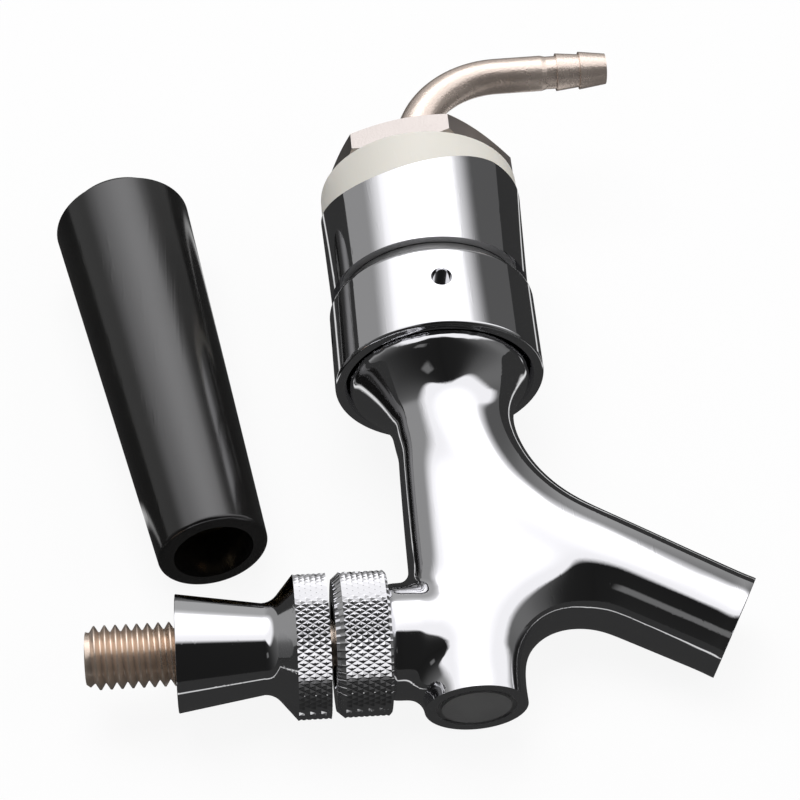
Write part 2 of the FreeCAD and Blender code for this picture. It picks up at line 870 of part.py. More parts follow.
def make_saddle_washer():
    """Plastic washer, flat for the lock nut and round for the inside of the column."""
    radius = size("saddle_washer_radius")
    back = size("saddle_washer_back")
    crown = size("saddle_line") + face_clearance
    inside = size("column_radius") - size("column_wall")
    body = make_ring("saddle_washer", crown, back, size("saddle_washer_hole"), radius)
    reach = radius + size("cut_margin")
    foot = crown + inside - height_on(inside, reach)
    front = crown - size("cut_margin")
    sketch = new_sketch(body, "column_inside")
    draw_profile(sketch, [
        (-reach, foot, inside),
        (reach, foot),
        (reach, front),
        (-reach, front),
    ])
    cut_both_ways(body, "column_inside_cut", sketch)
    return body


# Elbow tailpiece: bent tube with two hose barbs

def elbow_path(body, name, end):
    """Straight out of the shank, a quarter bend towards +X, and straight to the end."""
    bend = size("elbow_bend")
    start = size("elbow_start")
    foot = size("shank_end") - size("tube_depth")
    sketch = new_sketch(body, name)
    first = sketch.addGeometry(Part.LineSegment(
        FreeCAD.Vector(0, foot.value, 0), FreeCAD.Vector(0, start.value, 0)), False)
    circle = Part.Circle(FreeCAD.Vector(bend.value, start.value, 0),
                         FreeCAD.Vector(0, 0, 1), bend.value)
    quarter = sketch.addGeometry(Part.ArcOfCircle(circle, math.pi / 2, math.pi), False)
    last = sketch.addGeometry(Part.LineSegment(
        FreeCAD.Vector(bend.value, (start + bend).value, 0),
        FreeCAD.Vector(end.value, (start + bend).value, 0)), False)
    sketch.addConstraint(Sketcher.Constraint("Coincident", first, 2, quarter, 2))
    sketch.addConstraint(Sketcher.Constraint("Coincident", quarter, 1, last, 1))
    pin_coordinate(sketch, "DistanceX", first, 1, as_dim(0))
    pin_coordinate(sketch, "DistanceY", first, 1, foot)
    pin_coordinate(sketch, "DistanceX", first, 2, as_dim(0))
    pin_coordinate(sketch, "DistanceY", first, 2, start)
    pin_coordinate(sketch, "DistanceX", quarter, 3, bend)
    pin_coordinate(sketch, "DistanceY", quarter, 3, start)
    pin_coordinate(sketch, "DistanceX", last, 1, bend)
    pin_coordinate(sketch, "DistanceX", last, 2, end)
    pin_coordinate(sketch, "DistanceY", last, 2, start + bend)
    return sketch


def elbow_pipe(body, name, kind, radius, end):
    path = elbow_path(body, name + "_path", end)
    foot = size("shank_end") - size("tube_depth")
    section = new_sketch(body, name + "_section", "XZ_Plane")
    section.AttachmentOffset = FreeCAD.Placement(
        FreeCAD.Vector(0, 0, -foot.value), FreeCAD.Rotation())
    section.setExpression("AttachmentOffset.Base.z", (-foot).text)
    draw_circle(section, 0, 0, radius)
    pipe = body.newObject(kind, name)
    pipe.Profile = (section, [""])
    pipe.Spine = (path, [""])
    doc.recompute()


def make_elbow():
    body = new_body("elbow_tailpiece")
    neck = size("elbow_neck")
    end = size("elbow_end")
    tube = size("tube_radius")
    barb = size("barb_radius")
    slim = size("barb_neck_radius")
    first = size("elbow_first_barb")
    second = size("elbow_second_barb")
    level = size("elbow_start") + size("elbow_bend")
    elbow_pipe(body, "tube", "PartDesign::AdditivePipe", tube, neck)
    sketch = new_sketch(body, "barb_profile")
    sketch.AttachmentOffset = FreeCAD.Placement(
        FreeCAD.Vector(0, level.value, 0), FreeCAD.Rotation())
    sketch.setExpression("AttachmentOffset.Base.y", level.text)
    draw_profile(sketch, [
        (neck, 0),
        (neck, tube),
        (neck + size("elbow_cone_length"), slim),
        (first, slim),
        (first, barb),
        (second, slim),
        (second, barb),
        (end, size("barb_tip_radius")),
        (end, 0),
    ])
    barbs = body.newObject("PartDesign::Revolution", "barbs")
    barbs.Profile = (sketch, [""])
    barbs.ReferenceAxis = (sketch, ["H_Axis"])
    barbs.Angle = 360
    doc.recompute()
    before = body.Shape.Volume
    elbow_pipe(body, "tube_bore_cut", "PartDesign::SubtractivePipe", size("tube_bore"), end)
    if body.Shape.Volume >= before:
        raise RuntimeError("the elbow's bore cuts nothing")
    return body


# Handle, modelled along Y from its open base, and its threaded insert

def make_handle_grip():
    body = new_body("handle_grip")
    length = size("handle_length")
    base = size("handle_base_radius")
    head = size("handle_head_radius")
    hole = size("handle_recess_radius")
    shoulder = length + size("handle_shoulder_height")
    turn(body, "grip_turning", [
        (0, hole),
        (0, base),
        (length, head, -size("handle_shoulder_arc")),
        (shoulder, head - size("handle_shoulder_inset"), -size("handle_crown_arc")),
        (length + size("handle_crown_height"), 0),
        (size("handle_recess_depth"), 0),
        (size("handle_recess_depth"), hole),
    ], "shank")
    round_edges(body, "rim_round", ring_edge("shank", as_dim(0), base), size("handle_rim_round"))
    return body


def make_handle_insert():
    start = size("insert_start")
    end = start + size("insert_length")
    outer = size("handle_recess_radius") - size("insert_clearance")
    lead = size("insert_lead")
    return turned_body("handle_insert", [
        (start, stud_bore + lead),
        (start, outer),
        (end, outer),
        (end, stud_bore),
        (start + lead, stud_bore),
    ], "shank")


# Lying pose: the table touches the nut's front rim, the bonnet's rim and the spout's tip

def lowest_point(centre, axis, radius, up):
    """Lowest point of a circle, seen along the direction that is up."""
    slope = up - axis * up.dot(axis)
    return centre - slope.normalize() * radius


def table_normal(circles):
    up = FreeCAD.Vector(0, 0, 1)
    for _ in range(SETTLING_STEPS):
        feet = [lowest_point(centre, axis, radius, up) for centre, axis, radius in circles]
        up = (feet[1] - feet[0]).cross(feet[2] - feet[0]).normalize()
        if up.z < 0:
            up = up * -1
    return up, feet[0]


def lying_placement():
    shank_axis = FreeCAD.Vector(0, 1, 0)
    lever_axis = FreeCAD.Vector(1, 0, 0)
    across, along, angle = spout_tip()
    turn_angle = math.radians(angle.value)
    spout_axis = FreeCAD.Vector(math.sin(turn_angle), -math.cos(turn_angle), 0)
    bonnet_edge = -(bonnet_foot + size("bonnet_edge")).value
    nut_touch = size("nut_front") + size("nut_front_round")
    up, foot = table_normal([
        (shank_axis * nut_touch.value, shank_axis, nut_radius.value),
        (lever_axis * bonnet_edge, lever_axis, knurl_radius.value),
        (FreeCAD.Vector(across.value, along.value, 0), spout_axis, size("spout_tip_radius").value),
    ])
    away = (shank_axis - up * shank_axis.dot(up)).normalize()
    right = away.cross(up)
    turned = FreeCAD.Rotation(FreeCAD.Matrix(
        right.x, right.y, right.z, 0,
        away.x, away.y, away.z, 0,
        up.x, up.y, up.z, 0,
        0, 0, 0, 1))
    lift = FreeCAD.Vector(0, 0, -up.dot(foot))
    return FreeCAD.Placement(lift, turned)


def handle_placement():
    """The tapered handle lies along its side, its open base towards the faucet's front."""
    rise = math.asin((size("handle_head_radius").value - size("handle_base_radius").value)
                     / size("handle_length").value)
    tilt = FreeCAD.Rotation(FreeCAD.Vector(1, 0, 0), math.degrees(rise))
    heading = FreeCAD.Rotation(FreeCAD.Vector(0, 0, 1), size("handle_heading").value)
    height = size("handle_base_radius").value * math.cos(rise)
    place = FreeCAD.Vector(size("handle_place_x").value, size("handle_place_y").value, height)
    return FreeCAD.Placement(place, heading.multiply(tilt))


def turned_about_shank(alias):
    """Turn about the shank's axis, counted from +X towards +Z."""
    return FreeCAD.Placement(
        FreeCAD.Vector(), FreeCAD.Rotation(FreeCAD.Vector(0, -1, 0), size(alias).value))


AS_MODELLED = FreeCAD.Placement()
faucet_pieces = [
    (make_faucet_body(), AS_MODELLED),
    (make_front_plug(), AS_MODELLED),
    (make_valve_shaft(), AS_MODELLED),
    (make_ring("seat_washer", seat_washer_foot, seat_washer_head,
               shaft_thread_bore, size("seat_washer_radius")), AS_MODELLED),
    (make_hex_nut("shaft_nut", seat_washer_head, size("shaft_nut_thickness"), size("shaft_nut_flats"),
                  shaft_thread_bore, size("shaft_nut_chamfer")), AS_MODELLED),
    (make_lever(), AS_MODELLED),
    (make_lever_collar(), AS_MODELLED),
    (make_bonnet(), AS_MODELLED),
    (make_ring("ball_washer", seal_foot, seal_head,
               size("ball_washer_inner"), ball_radius, "lever"), AS_MODELLED),
    (make_ring("friction_ring", seal_head, friction_head,
               size("friction_ring_inner"), ball_radius, "lever"), AS_MODELLED),
    (make_ring("coupling_washer", size("body_rear"), flange_front,
               size("recess_radius"), body_thread_radius - size("washer_inset")), AS_MODELLED),
    (make_coupling_nut(), AS_MODELLED),
    (make_ring("slip_ring", ring_front, ring_back, shank_hole, size("ring_radius")), AS_MODELLED),
    (make_shank(), AS_MODELLED),
    (make_saddle_collar(), turned_about_shank("saddle_turn")),
    (make_saddle_washer(), turned_about_shank("saddle_turn")),
    (make_hex_nut("lock_nut", lock_front, size("lock_nut_thickness"), size("lock_nut_flats"),
                  size("shank_radius") + thread_clearance, size("lock_nut_chamfer")),
     turned_about_shank("lock_nut_turn")),
    (make_elbow(), turned_about_shank("elbow_turn")),
]
handle_pieces = [make_handle_grip(), make_handle_insert()]
doc.recompute()

lying = lying_placement()
for piece, own_turn in faucet_pieces:
    piece.Placement = lying.multiply(own_turn)
for piece in handle_pieces:
    piece.Placement = handle_placement()
pieces = [piece for piece, _ in faucet_pieces] + handle_pieces
doc.recompute()

# Origin under the middle of the whole set, on the table
whole = Part.makeCompound([piece.Shape for piece in pieces]).optimalBoundingBox()
shift = FreeCAD.Vector(-whole.Center.x, -whole.Center.y, -whole.ZMin)
for piece in pieces:
    moved = piece.Placement
    moved.Base = moved.Base + shift
    piece.Placement = moved
doc.recompute()

for item in doc.Objects:
    if "Invalid" in item.State or "Error" in item.State:
        raise RuntimeError(f"{item.Name} failed: {item.State}")
for piece in pieces:
    if piece.Shape.isNull() or not piece.Shape.isValid() or len(piece.Shape.Solids) != 1:
        raise RuntimeError(f"{piece.Label} has no sound solid")

os.makedirs("parts", exist_ok=True)
for piece in pieces:
    piece.Shape.exportStep(f"parts/{piece.Label}.step")

# Places that the joints and mounts need, in the packed frame
frame = FreeCAD.Placement(lying.Base + shift, lying.Rotation)
whole = Part.makeCompound([piece.Shape for piece in pieces]).optimalBoundingBox()
print("pieces", len(pieces), "box", [round(v, 3) for v in (whole.XLength, whole.YLength, whole.ZLength)])


def tell(name, point):
    spot = frame.multVec(FreeCAD.Vector(*point))
    print(name, [round(v, 4) for v in spot])


def tell_direction(name, direction):
    turned = frame.Rotation.multVec(FreeCAD.Vector(*direction))
    print(name, [round(v, 6) for v in turned])


tell("origin", (0, 0, 0))
tell("ball", (-ball_centre.value, 0, 0))
tell("stud_end", (-size("stud_end").value, 0, 0))
tell("collar_mouth", (-size("collar_mouth").value, 0, 0))
tell("spout_tip", (spout_tip()[0].value, spout_tip()[1].value, 0))
tell("saddle_line", (0, size("saddle_line").value, 0))
tell("shank_end", (0, size("shank_end").value, 0))
tell("spanner_hole", (0, size("spanner_hole_place").value, nut_radius.value))
tell_direction("x", (1, 0, 0))
tell_direction("y", (0, 1, 0))
tell_direction("z", (0, 0, 1))
tip_turn = math.radians(spout_tip()[2].value)
tell_direction("spout", (math.sin(tip_turn), -math.cos(tip_turn), 0))
level = (size("elbow_start") + size("elbow_bend")).value
elbow_turn = math.radians(size("elbow_turn").value)
tell("barb_end", (size("elbow_end").value * math.cos(elbow_turn), level,
                  size("elbow_end").value * math.sin(elbow_turn)))
tell_direction("barb", (math.cos(elbow_turn), 0, math.sin(elbow_turn)))
base = handle_pieces[0].Placement
print("handle_base", [round(v, 4) for v in base.Base])
print("handle_axis", [round(v, 6) for v in base.Rotation.multVec(FreeCAD.Vector(0, 1, 0))])
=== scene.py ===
# %% [markdown]
# # Beer faucet with shank
# A chromed draft faucet lies on its side on a pale table, its black lever handle taken off
# beside it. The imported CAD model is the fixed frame. This lesson gives it its looks:
# threads and knurls as real geometry, finishes as node materials, and the studio round it.

# %% The frame
import bmesh
import bpy
import json
import math
from mathutils import Matrix, Vector


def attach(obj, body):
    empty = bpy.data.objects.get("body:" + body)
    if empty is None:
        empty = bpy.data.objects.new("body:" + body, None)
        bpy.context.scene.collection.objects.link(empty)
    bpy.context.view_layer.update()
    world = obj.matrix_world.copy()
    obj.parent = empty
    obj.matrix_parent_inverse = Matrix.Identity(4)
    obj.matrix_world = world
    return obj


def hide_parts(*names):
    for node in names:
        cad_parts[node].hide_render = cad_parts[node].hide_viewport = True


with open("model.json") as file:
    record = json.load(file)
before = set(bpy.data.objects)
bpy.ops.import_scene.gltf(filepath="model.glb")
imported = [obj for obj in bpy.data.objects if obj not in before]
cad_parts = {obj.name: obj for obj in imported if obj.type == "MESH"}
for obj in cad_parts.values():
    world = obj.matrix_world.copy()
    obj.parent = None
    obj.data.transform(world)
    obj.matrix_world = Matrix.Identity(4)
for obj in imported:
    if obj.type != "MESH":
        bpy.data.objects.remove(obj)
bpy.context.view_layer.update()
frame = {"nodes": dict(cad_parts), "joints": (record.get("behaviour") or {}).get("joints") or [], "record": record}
nodes = frame["nodes"]
MM = 0.001

# %% [markdown]
# ## The faucet's own axes
# The faucet rests on three points of its round parts, so none of its axes is level. Turned
# pieces are easiest to draw along their own axis, so the axes are read from the frame: the
# lever's stud points one way, the lever's hinge another, and the shank is square to both.
# The middle lines of lever and barrel cross some way below the lever's ball.

# %% The faucet's own axes
BALL_HEIGHT = 12.4

joints = {joint["name"]: joint for joint in frame["joints"]}
mounts = {mount["name"]: mount for mount in frame["record"]["mounts"]}
ball = Vector(joints["lever_swing"]["pos_m"])
faucet_up = Vector(joints["lever_swing"]["axis"]).normalized()
lever_out = Vector(mounts["lever_stud"]["axis"]).normalized()
shank_out = lever_out.cross(faucet_up).normalized()


def axis_matrix(start, along, up):
    """Matrix that lays local Z along a direction, with local X in the plane of up."""
    side = (up - along * up.dot(along)).normalized()
    across = along.cross(side)
    return Matrix.Translation(start) @ Matrix((side, across, along)).transposed().to_4x4()


lever_axes = axis_matrix(ball, lever_out, faucet_up)
crossing = ball - lever_out * BALL_HEIGHT * MM
faucet_axes = axis_matrix(crossing, faucet_up, -lever_out)
print("lever points", [round(v, 3) for v in lever_out])
print("shank points", [round(v, 3) for v in shank_out])

# %% [markdown]
# ## The spout's middle line
# The spout leaves the barrel on an arc and ends straight. The forged body is cut square at
# the spout's end, and the floor's reflection follows the spout, so the line is worked out
# once. X points to the spout's side and Y along the shank. Sizes are in millimetres, and the
# end point is turned into metres, which Blender counts in.

# %% The spout's middle line
SPOUT_OFFSET = 1.2
SPOUT_START = 39.6
SPOUT_BEND = 30.0
SPOUT_TURN = math.radians(59.6)
SPOUT_STRAIGHT = 28.6

spout_way = Vector((math.sin(SPOUT_TURN), -math.cos(SPOUT_TURN), 0))
spout_knee = Vector((SPOUT_OFFSET + SPOUT_BEND * (1 - math.cos(SPOUT_TURN)),
                     SPOUT_START - SPOUT_BEND * math.sin(SPOUT_TURN), 0))
spout_end = (spout_knee + spout_way * SPOUT_STRAIGHT) * MM
spout_tip = faucet_axes @ spout_end
print("spout's end in mm", [round(v / MM, 1) for v in spout_tip])

# %% [markdown]
# ## The camera
# The photograph was taken from above and in front with a long lens. The camera stands where
# thread, nut, spout and handle fall on the places that they have in the photograph.

# %% The camera
CAMERA_PLACE = (-12.021 * MM, -222.368 * MM, 260.024 * MM)
CAMERA_TURN = (41.4539, 0.6847, -4.7631)
LENS = 90.0
SENSOR_WIDTH = 36.0
NEAREST_SEEN = 10 * MM


def put_in_scene(name, data):
    """New object of a mesh, a lamp or a camera, in the scene's own collection."""
    thing = bpy.data.objects.new(name, data)
    bpy.context.scene.collection.objects.link(thing)
    return thing


camera = put_in_scene("camera", bpy.data.cameras.new("camera"))
camera.location = CAMERA_PLACE
camera.rotation_euler = [math.radians(angle) for angle in CAMERA_TURN]
camera.data.lens = LENS
camera.data.sensor_width = SENSOR_WIDTH
camera.data.clip_start = NEAREST_SEEN
bpy.context.scene.camera = camera
bpy.context.scene.view_settings.view_transform = "Standard"
print("camera", LENS, "mm lens")

# %% [markdown]
# ## Tools for node materials
# Every finish is a tree of nodes. A few small helpers keep the trees short: one makes a node
# and sets its plain sockets, one links, two start a material, and one runs from one colour
# to another as a value changes over the surface.

# %% Tools for nodes
def add_node(tree, kind, **sockets):
    """New node; keys that name an input set its value, other keys set a property."""
    node = tree.nodes.new(kind)
    for key, value in sockets.items():
        name = key.replace("_", " ")
        if name in node.inputs:
            node.inputs[name].default_value = value
        else:
            setattr(node, key, value)
    return node


def link(tree, source, target):
    """Join an output socket to an input socket."""
    tree.links.new(source, target)


# %% Tools for materials
def new_material(name):
    """Material with a Principled BSDF, and Object coordinates for its patterns."""
    material = bpy.data.materials.new(name)
    material.use_nodes = True
    tree = material.node_tree
    shader = tree.nodes["Principled BSDF"]
    coordinates = add_node(tree, "ShaderNodeTexCoord")
    return material, tree, shader, coordinates.outputs["Object"]


def new_bare_material(name):
    """Material with an empty tree, for the tent and the floor."""
    material = bpy.data.materials.new(name)
    material.use_nodes = True
    material.node_tree.nodes.clear()
    return material, material.node_tree


def run_colours(tree, share, first, second, target):
    """Feed a socket with a colour that runs from the first to the second."""
    tint = add_node(tree, "ShaderNodeMix", data_type="RGBA")
    tint.inputs["A"].default_value = (*first, 1)
    tint.inputs["B"].default_value = (*second, 1)
    link(tree, share, tint.inputs["Factor"])
    link(tree, tint.outputs["Result"], target)


# %% [markdown]
# ## Wear that all the finishes share
# Handled metal and plastic carry two faint marks: smudges a centimetre or so wide, and fine
# hairlines that cross each other. Both are one group, built once. It gives a smudge value
# for the roughness and a height for the bump, and each material decides how strong they are.
# A hairline is the narrow crest of a noise that is stretched along one direction.

# %% Tool for groups
def new_group(name, inputs, outputs):
    """Group with its sockets, each a name and a kind, and its two end nodes."""
    group = bpy.data.node_groups.new(name, "ShaderNodeTree")
    for way, sockets in (("INPUT", inputs), ("OUTPUT", outputs)):
        for socket, kind in sockets.items():
            group.interface.new_socket(socket, in_out=way, socket_type="NodeSocket" + kind)
    return group, group.nodes.new("NodeGroupInput"), group.nodes.new("NodeGroupOutput")


# %% Wear group
HAIR_TURNS = (0.5, 2.1)
HAIR_TILT = (1.0, 1.7, 0.6)
HAIR_STRETCH = 0.03
HAIR_CREST = (0.62, 0.72)


def make_wear_group():
    """Group that gives smudges and hairlines, each at a scale of its own."""
    group, source, target = new_group(
        "handling_wear", {"Vector": "Vector", "Smudge Scale": "Float", "Hairline Scale": "Float"},
        {"Smudge": "Float", "Hairlines": "Float"})
    smudge = add_node(group, "ShaderNodeTexNoise", Detail=4.0, Roughness=0.6)
    link(group, source.outputs["Vector"], smudge.inputs["Vector"])
    link(group, source.outputs["Smudge Scale"], smudge.inputs["Scale"])
    link(group, smudge.outputs["Fac"], target.inputs["Smudge"])
    both = add_node(group, "ShaderNodeMath", operation="MAXIMUM")
    for turn, strand in zip(HAIR_TURNS, both.inputs):
        turned = add_node(group, "ShaderNodeMapping", Rotation=[turn * tilt for tilt in HAIR_TILT],
                          Scale=(1.0, HAIR_STRETCH, 1.0))
        hair = add_node(group, "ShaderNodeTexNoise", Detail=2.0, Roughness=0.8)
        crest = add_node(group, "ShaderNodeMapRange", From_Min=HAIR_CREST[0], From_Max=HAIR_CREST[1])
        link(group, source.outputs["Vector"], turned.inputs["Vector"])
        link(group, turned.outputs["Vector"], hair.inputs["Vector"])
        link(group, source.outputs["Hairline Scale"], hair.inputs["Scale"])
        link(group, hair.outputs["Fac"], crest.inputs["Value"])
        link(group, crest.outputs["Result"], strand)
    link(group, both.outputs["Value"], target.inputs["Hairlines"])
    return group


wear_group = make_wear_group()
print("group", wear_group.name)

# %% Wear placed in a material
SMUDGE_RANGE = (0.3, 0.75)
HAIR_DEPTH = 0.02 * MM


def worn(tree, shader, vector, rough, spread, scratch, smudge_scale=90.0, hairline_scale=900.0):
    """Roughness that varies with the smudges, and a faint bump from the hairlines."""
    wear = add_node(tree, "ShaderNodeGroup", node_tree=wear_group, Smudge_Scale=smudge_scale,
                    Hairline_Scale=hairline_scale)
    link(tree, vector, wear.inputs["Vector"])
    level = add_node(tree, "ShaderNodeMapRange", From_Min=SMUDGE_RANGE[0], From_Max=SMUDGE_RANGE[1],
                     To_Min=rough, To_Max=rough + spread)
    link(tree, wear.outputs["Smudge"], level.inputs["Value"])
    link(tree, level.outputs["Result"], shader.inputs["Roughness"])
    bump = add_node(tree, "ShaderNodeBump", Strength=scratch, Distance=HAIR_DEPTH)
    link(tree, wear.outputs["Hairlines"], bump.inputs["Height"])
    link(tree, bump.outputs["Normal"], shader.inputs["Normal"])
    return wear.outputs["Smudge"], bump


print("hairlines", round(HAIR_DEPTH / MM, 3), "mm deep at full strength")

# %% [markdown]
# ## Chrome
# Bright chrome is a mirror with a cool tint. It shows little of its own, only what stands
# round it, so the material is plain: metallic, very smooth, with faint smudges.

# %% Chrome
CHROME_COLOUR = (0.82, 0.82, 0.835, 1)


def make_chrome():
    """Polished plating."""
    material, tree, shader, vector = new_material("chrome")
    shader.inputs["Base Color"].default_value = CHROME_COLOUR
    shader.inputs["Metallic"].default_value = 1.0
    worn(tree, shader, vector, rough=0.02, spread=0.05, scratch=0.12)
    return material


chrome = make_chrome()
print("finish", chrome.name)

# %% [markdown]
# ## Metals with a grain
# The stud, the shank and the elbow are plated without a polish. They are warmer than the
# chrome, and a fine grain spreads their highlights. The hexagon nut is greyer, and the elbow
# is the lightest. The front plug and the slip ring are bare steel, and the valve shaft, its
# nut and the handle's insert are turned brass. One function makes them all: two tones that
# follow the smudges, and a bump from a very fine noise under the hairlines. The noise is a
# group too, because all five metals share it.

# %% Grain group
def make_grain_group():
    """Group that gives the height of a fine grain."""
    group, source, target = new_group("metal_grain", {"Vector": "Vector", "Scale": "Float"},
                                      {"Grain": "Float"})
    pits = add_node(group, "ShaderNodeTexNoise", Detail=3.0)
    link(group, source.outputs["Vector"], pits.inputs["Vector"])
    link(group, source.outputs["Scale"], pits.inputs["Scale"])
    link(group, pits.outputs["Fac"], target.inputs["Grain"])
    return group


grain_group = make_grain_group()
print("group", grain_group.name)

# %% Tool for metals with a grain
GRAIN_SCALE = 2600.0


def make_grained_metal(name, pale, deep, rough, grain, metallic=1.0, peel=0.03):
    """Metal between two tones; grain is the bump's strength, peel its depth in millimetres."""
    material, tree, shader, vector = new_material(name)
    shader.inputs["Metallic"].default_value = metallic
    smudge, bump = worn(tree, shader, vector, rough=rough, spread=0.12, scratch=0.3)
    run_colours(tree, smudge, deep, pale, shader.inputs["Base Color"])
    pits = add_node(tree, "ShaderNodeGroup", node_tree=grain_group, Scale=GRAIN_SCALE)
    fine = add_node(tree, "ShaderNodeBump", Strength=grain, Distance=peel * MM)
    link(tree, vector, pits.inputs["Vector"])
    link(tree, pits.outputs["Grain"], fine.inputs["Height"])
    link(tree, fine.outputs["Normal"], bump.inputs["Normal"])
    return material


print("grain scale", GRAIN_SCALE)

# %% Nickel, steel and brass
nickel = make_grained_metal("warm_nickel", pale=(0.86, 0.73, 0.62), deep=(0.68, 0.55, 0.45),
                            rough=0.24, grain=0.5, metallic=0.9)
satin_nickel = make_grained_metal("satin_nickel", pale=(0.66, 0.61, 0.58), deep=(0.56, 0.51, 0.48),
                                  rough=0.3, grain=0.8, peel=0.05)
dull_steel = make_grained_metal("dull_steel", pale=(0.42, 0.42, 0.42), deep=(0.26, 0.26, 0.26),
                                rough=0.38, grain=0.6, metallic=0.86)
champagne = make_grained_metal("champagne_nickel", pale=(0.98, 0.85, 0.76), deep=(0.76, 0.63, 0.54),
                               rough=0.2, grain=0.8, metallic=0.84, peel=0.07)
brass = make_grained_metal("turned_brass", pale=(0.78, 0.60, 0.34), deep=(0.58, 0.42, 0.22),
                           rough=0.2, grain=0.3)
print("finishes", [metal.name for metal in (nickel, satin_nickel, dull_steel, champagne, brass)])

# %% [markdown]
# ## Plastics and rubber
# The washer at the saddle and the seat of the lever's ball are ivory nylon, which lets a
# little light in. The handle is black and glossy, with smudges and hairlines from use. The
# valve's seat and the washer in the coupling are matt black rubber. Each runs between two
# close tones with a noise, because no moulded surface has quite one colour.

# %% Nylon
NYLON_TONES = ((0.66, 0.64, 0.57), (0.74, 0.72, 0.66))
NYLON_GLOW = 0.15
NYLON_DEPTH = (1.2 * MM, 0.9 * MM, 0.6 * MM)


def make_nylon():
    """Waxy ivory plastic."""
    material, tree, shader, vector = new_material("ivory_nylon")
    shader.inputs["Subsurface Weight"].default_value = NYLON_GLOW
    shader.inputs["Subsurface Radius"].default_value = NYLON_DEPTH
    shader.inputs["Subsurface Scale"].default_value = 1.0
    smudge, _ = worn(tree, shader, vector, rough=0.32, spread=0.15, scratch=0.3)
    run_colours(tree, smudge, *NYLON_TONES, shader.inputs["Base Color"])
    return material


nylon = make_nylon()
print("finish", nylon.name)

# %% Black plastic
PLASTIC_TONES = ((0.003, 0.003, 0.003), (0.008, 0.0075, 0.007))
PLASTIC_GLOSS = 1.0


def make_black_plastic():
    """Glossy moulded plastic, handled often."""
    material, tree, shader, vector = new_material("black_plastic")
    shader.inputs["Specular IOR Level"].default_value = PLASTIC_GLOSS
    smudge, _ = worn(tree, shader, vector, rough=0.12, spread=0.10, scratch=0.5,
                     smudge_scale=60.0, hairline_scale=500.0)
    run_colours(tree, smudge, *PLASTIC_TONES, shader.inputs["Base Color"])
    return material


black_plastic = make_black_plastic()
print("finish", black_plastic.name)

# %% Rubber
RUBBER_TONES = ((0.02, 0.02, 0.02), (0.05, 0.05, 0.05))
BLOOM_SCALE = 400.0


def make_rubber():
    """Matt rubber with a faint grey bloom."""
    material, tree, shader, vector = new_material("black_rubber")
    worn(tree, shader, vector, rough=0.6, spread=0.2, scratch=0.4)
    bloom = add_node(tree, "ShaderNodeTexNoise", Scale=BLOOM_SCALE, Detail=3.0)
    link(tree, vector, bloom.inputs["Vector"])
    run_colours(tree, bloom.outputs["Fac"], *RUBBER_TONES, shader.inputs["Base Color"])
    return material


rubber = make_rubber()
print("finish", rubber.name)

# %% [markdown]
# ## The CAD nodes get their finishes
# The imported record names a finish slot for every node, so the slots choose the materials.
# The elbow shares the nickel slot, but its plating is lighter, so it gets its own.

# %% Finishes on the CAD nodes
finishes = {"chrome": chrome, "nickel": nickel, "satin_nickel": satin_nickel,
            "dull_steel": dull_steel, "brass": brass, "rubber": rubber, "nylon": nylon,
            "black_plastic": black_plastic}
slot_of = {part["node"]: part["material_slot"] for part in frame["record"]["subparts"]}
for name, node in nodes.items():
    node.data.materials.clear()
    node.data.materials.append(finishes[slot_of[name]])
nodes["elbow_tailpiece"].data.materials[0] = champagne
print("finished", len(slot_of), "nodes")

# %% [markdown]
# ## Turned pieces
# The lever, its collar and the bonnet are turned on a lathe, so each is an outline spun
# round its axis. The outline is a chain of a few vertices. Where an edge would catch the
# light, its corner is cut or bevelled before the spin, because a real edge is never sharp.

# %% Tools for turned pieces
SEAM = 1e-7
SLACK = 0.01


def draw_outline(mesh, corners):
    """Chain of vertices at (height, radius) in millimetres, along local Z."""
    chain = [mesh.verts.new((radius * MM, 0, height * MM)) for height, radius in corners]
    for pair in zip(chain, chain[1:]):
        mesh.edges.new(pair)
    return chain


def soften_corners(mesh, corners, amount):
    """Round the corners of an outline by a small amount."""
    bmesh.ops.bevel(mesh, geom=corners, offset=amount * MM, segments=3, affect="VERTICES",
                    profile=0.5, material=-1)


def spin_outline(mesh, steps):
    """Full turn about local Z, with the seam merged."""
    bmesh.ops.spin(mesh, geom=mesh.verts[:] + mesh.edges[:], axis=(0, 0, 1), cent=(0, 0, 0),
                   angle=math.tau, steps=steps, use_merge=True)
    bmesh.ops.remove_doubles(mesh, verts=mesh.verts, dist=SEAM)
    bmesh.ops.recalc_face_normals(mesh, faces=mesh.faces)


# %% Tools that end a piece
def mesh_data(mesh, name):
    """Mesh data made from a bmesh, which is freed."""
    data = bpy.data.meshes.new(name)
    mesh.to_mesh(data)
    mesh.free()
    return data


def finish_piece(mesh, name, place, material, body, replaced, sharp=30.0):
    """Mesh to object: laid in place, shaded, given its finish, and tied to its body."""
    bmesh.ops.transform(mesh, matrix=place, verts=mesh.verts)
    data = mesh_data(mesh, name)
    data.shade_smooth()
    data.set_sharp_from_angle(angle=math.radians(sharp))
    data.materials.append(material)
    piece = put_in_scene(name, data)
    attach(piece, body)
    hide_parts(*replaced)
    print(name, len(data.polygons), "faces")


# %% [markdown]
# ## Knurls
# The collar and the bonnet have a diamond knurl to grip. Two sets of slanted grooves cross
# and leave small pyramids. On a lattice round the cylinder every second point is a groove
# crossing and sinks, the points between them stay up, and a cut from crossing to crossing
# makes the grooves. The tips are bevelled, because plating fills and rounds them.

# %% Tools for knurls
KNURL_AROUND = 64
KNURL_DEPTH = 0.33
KNURL_TIP = 0.13


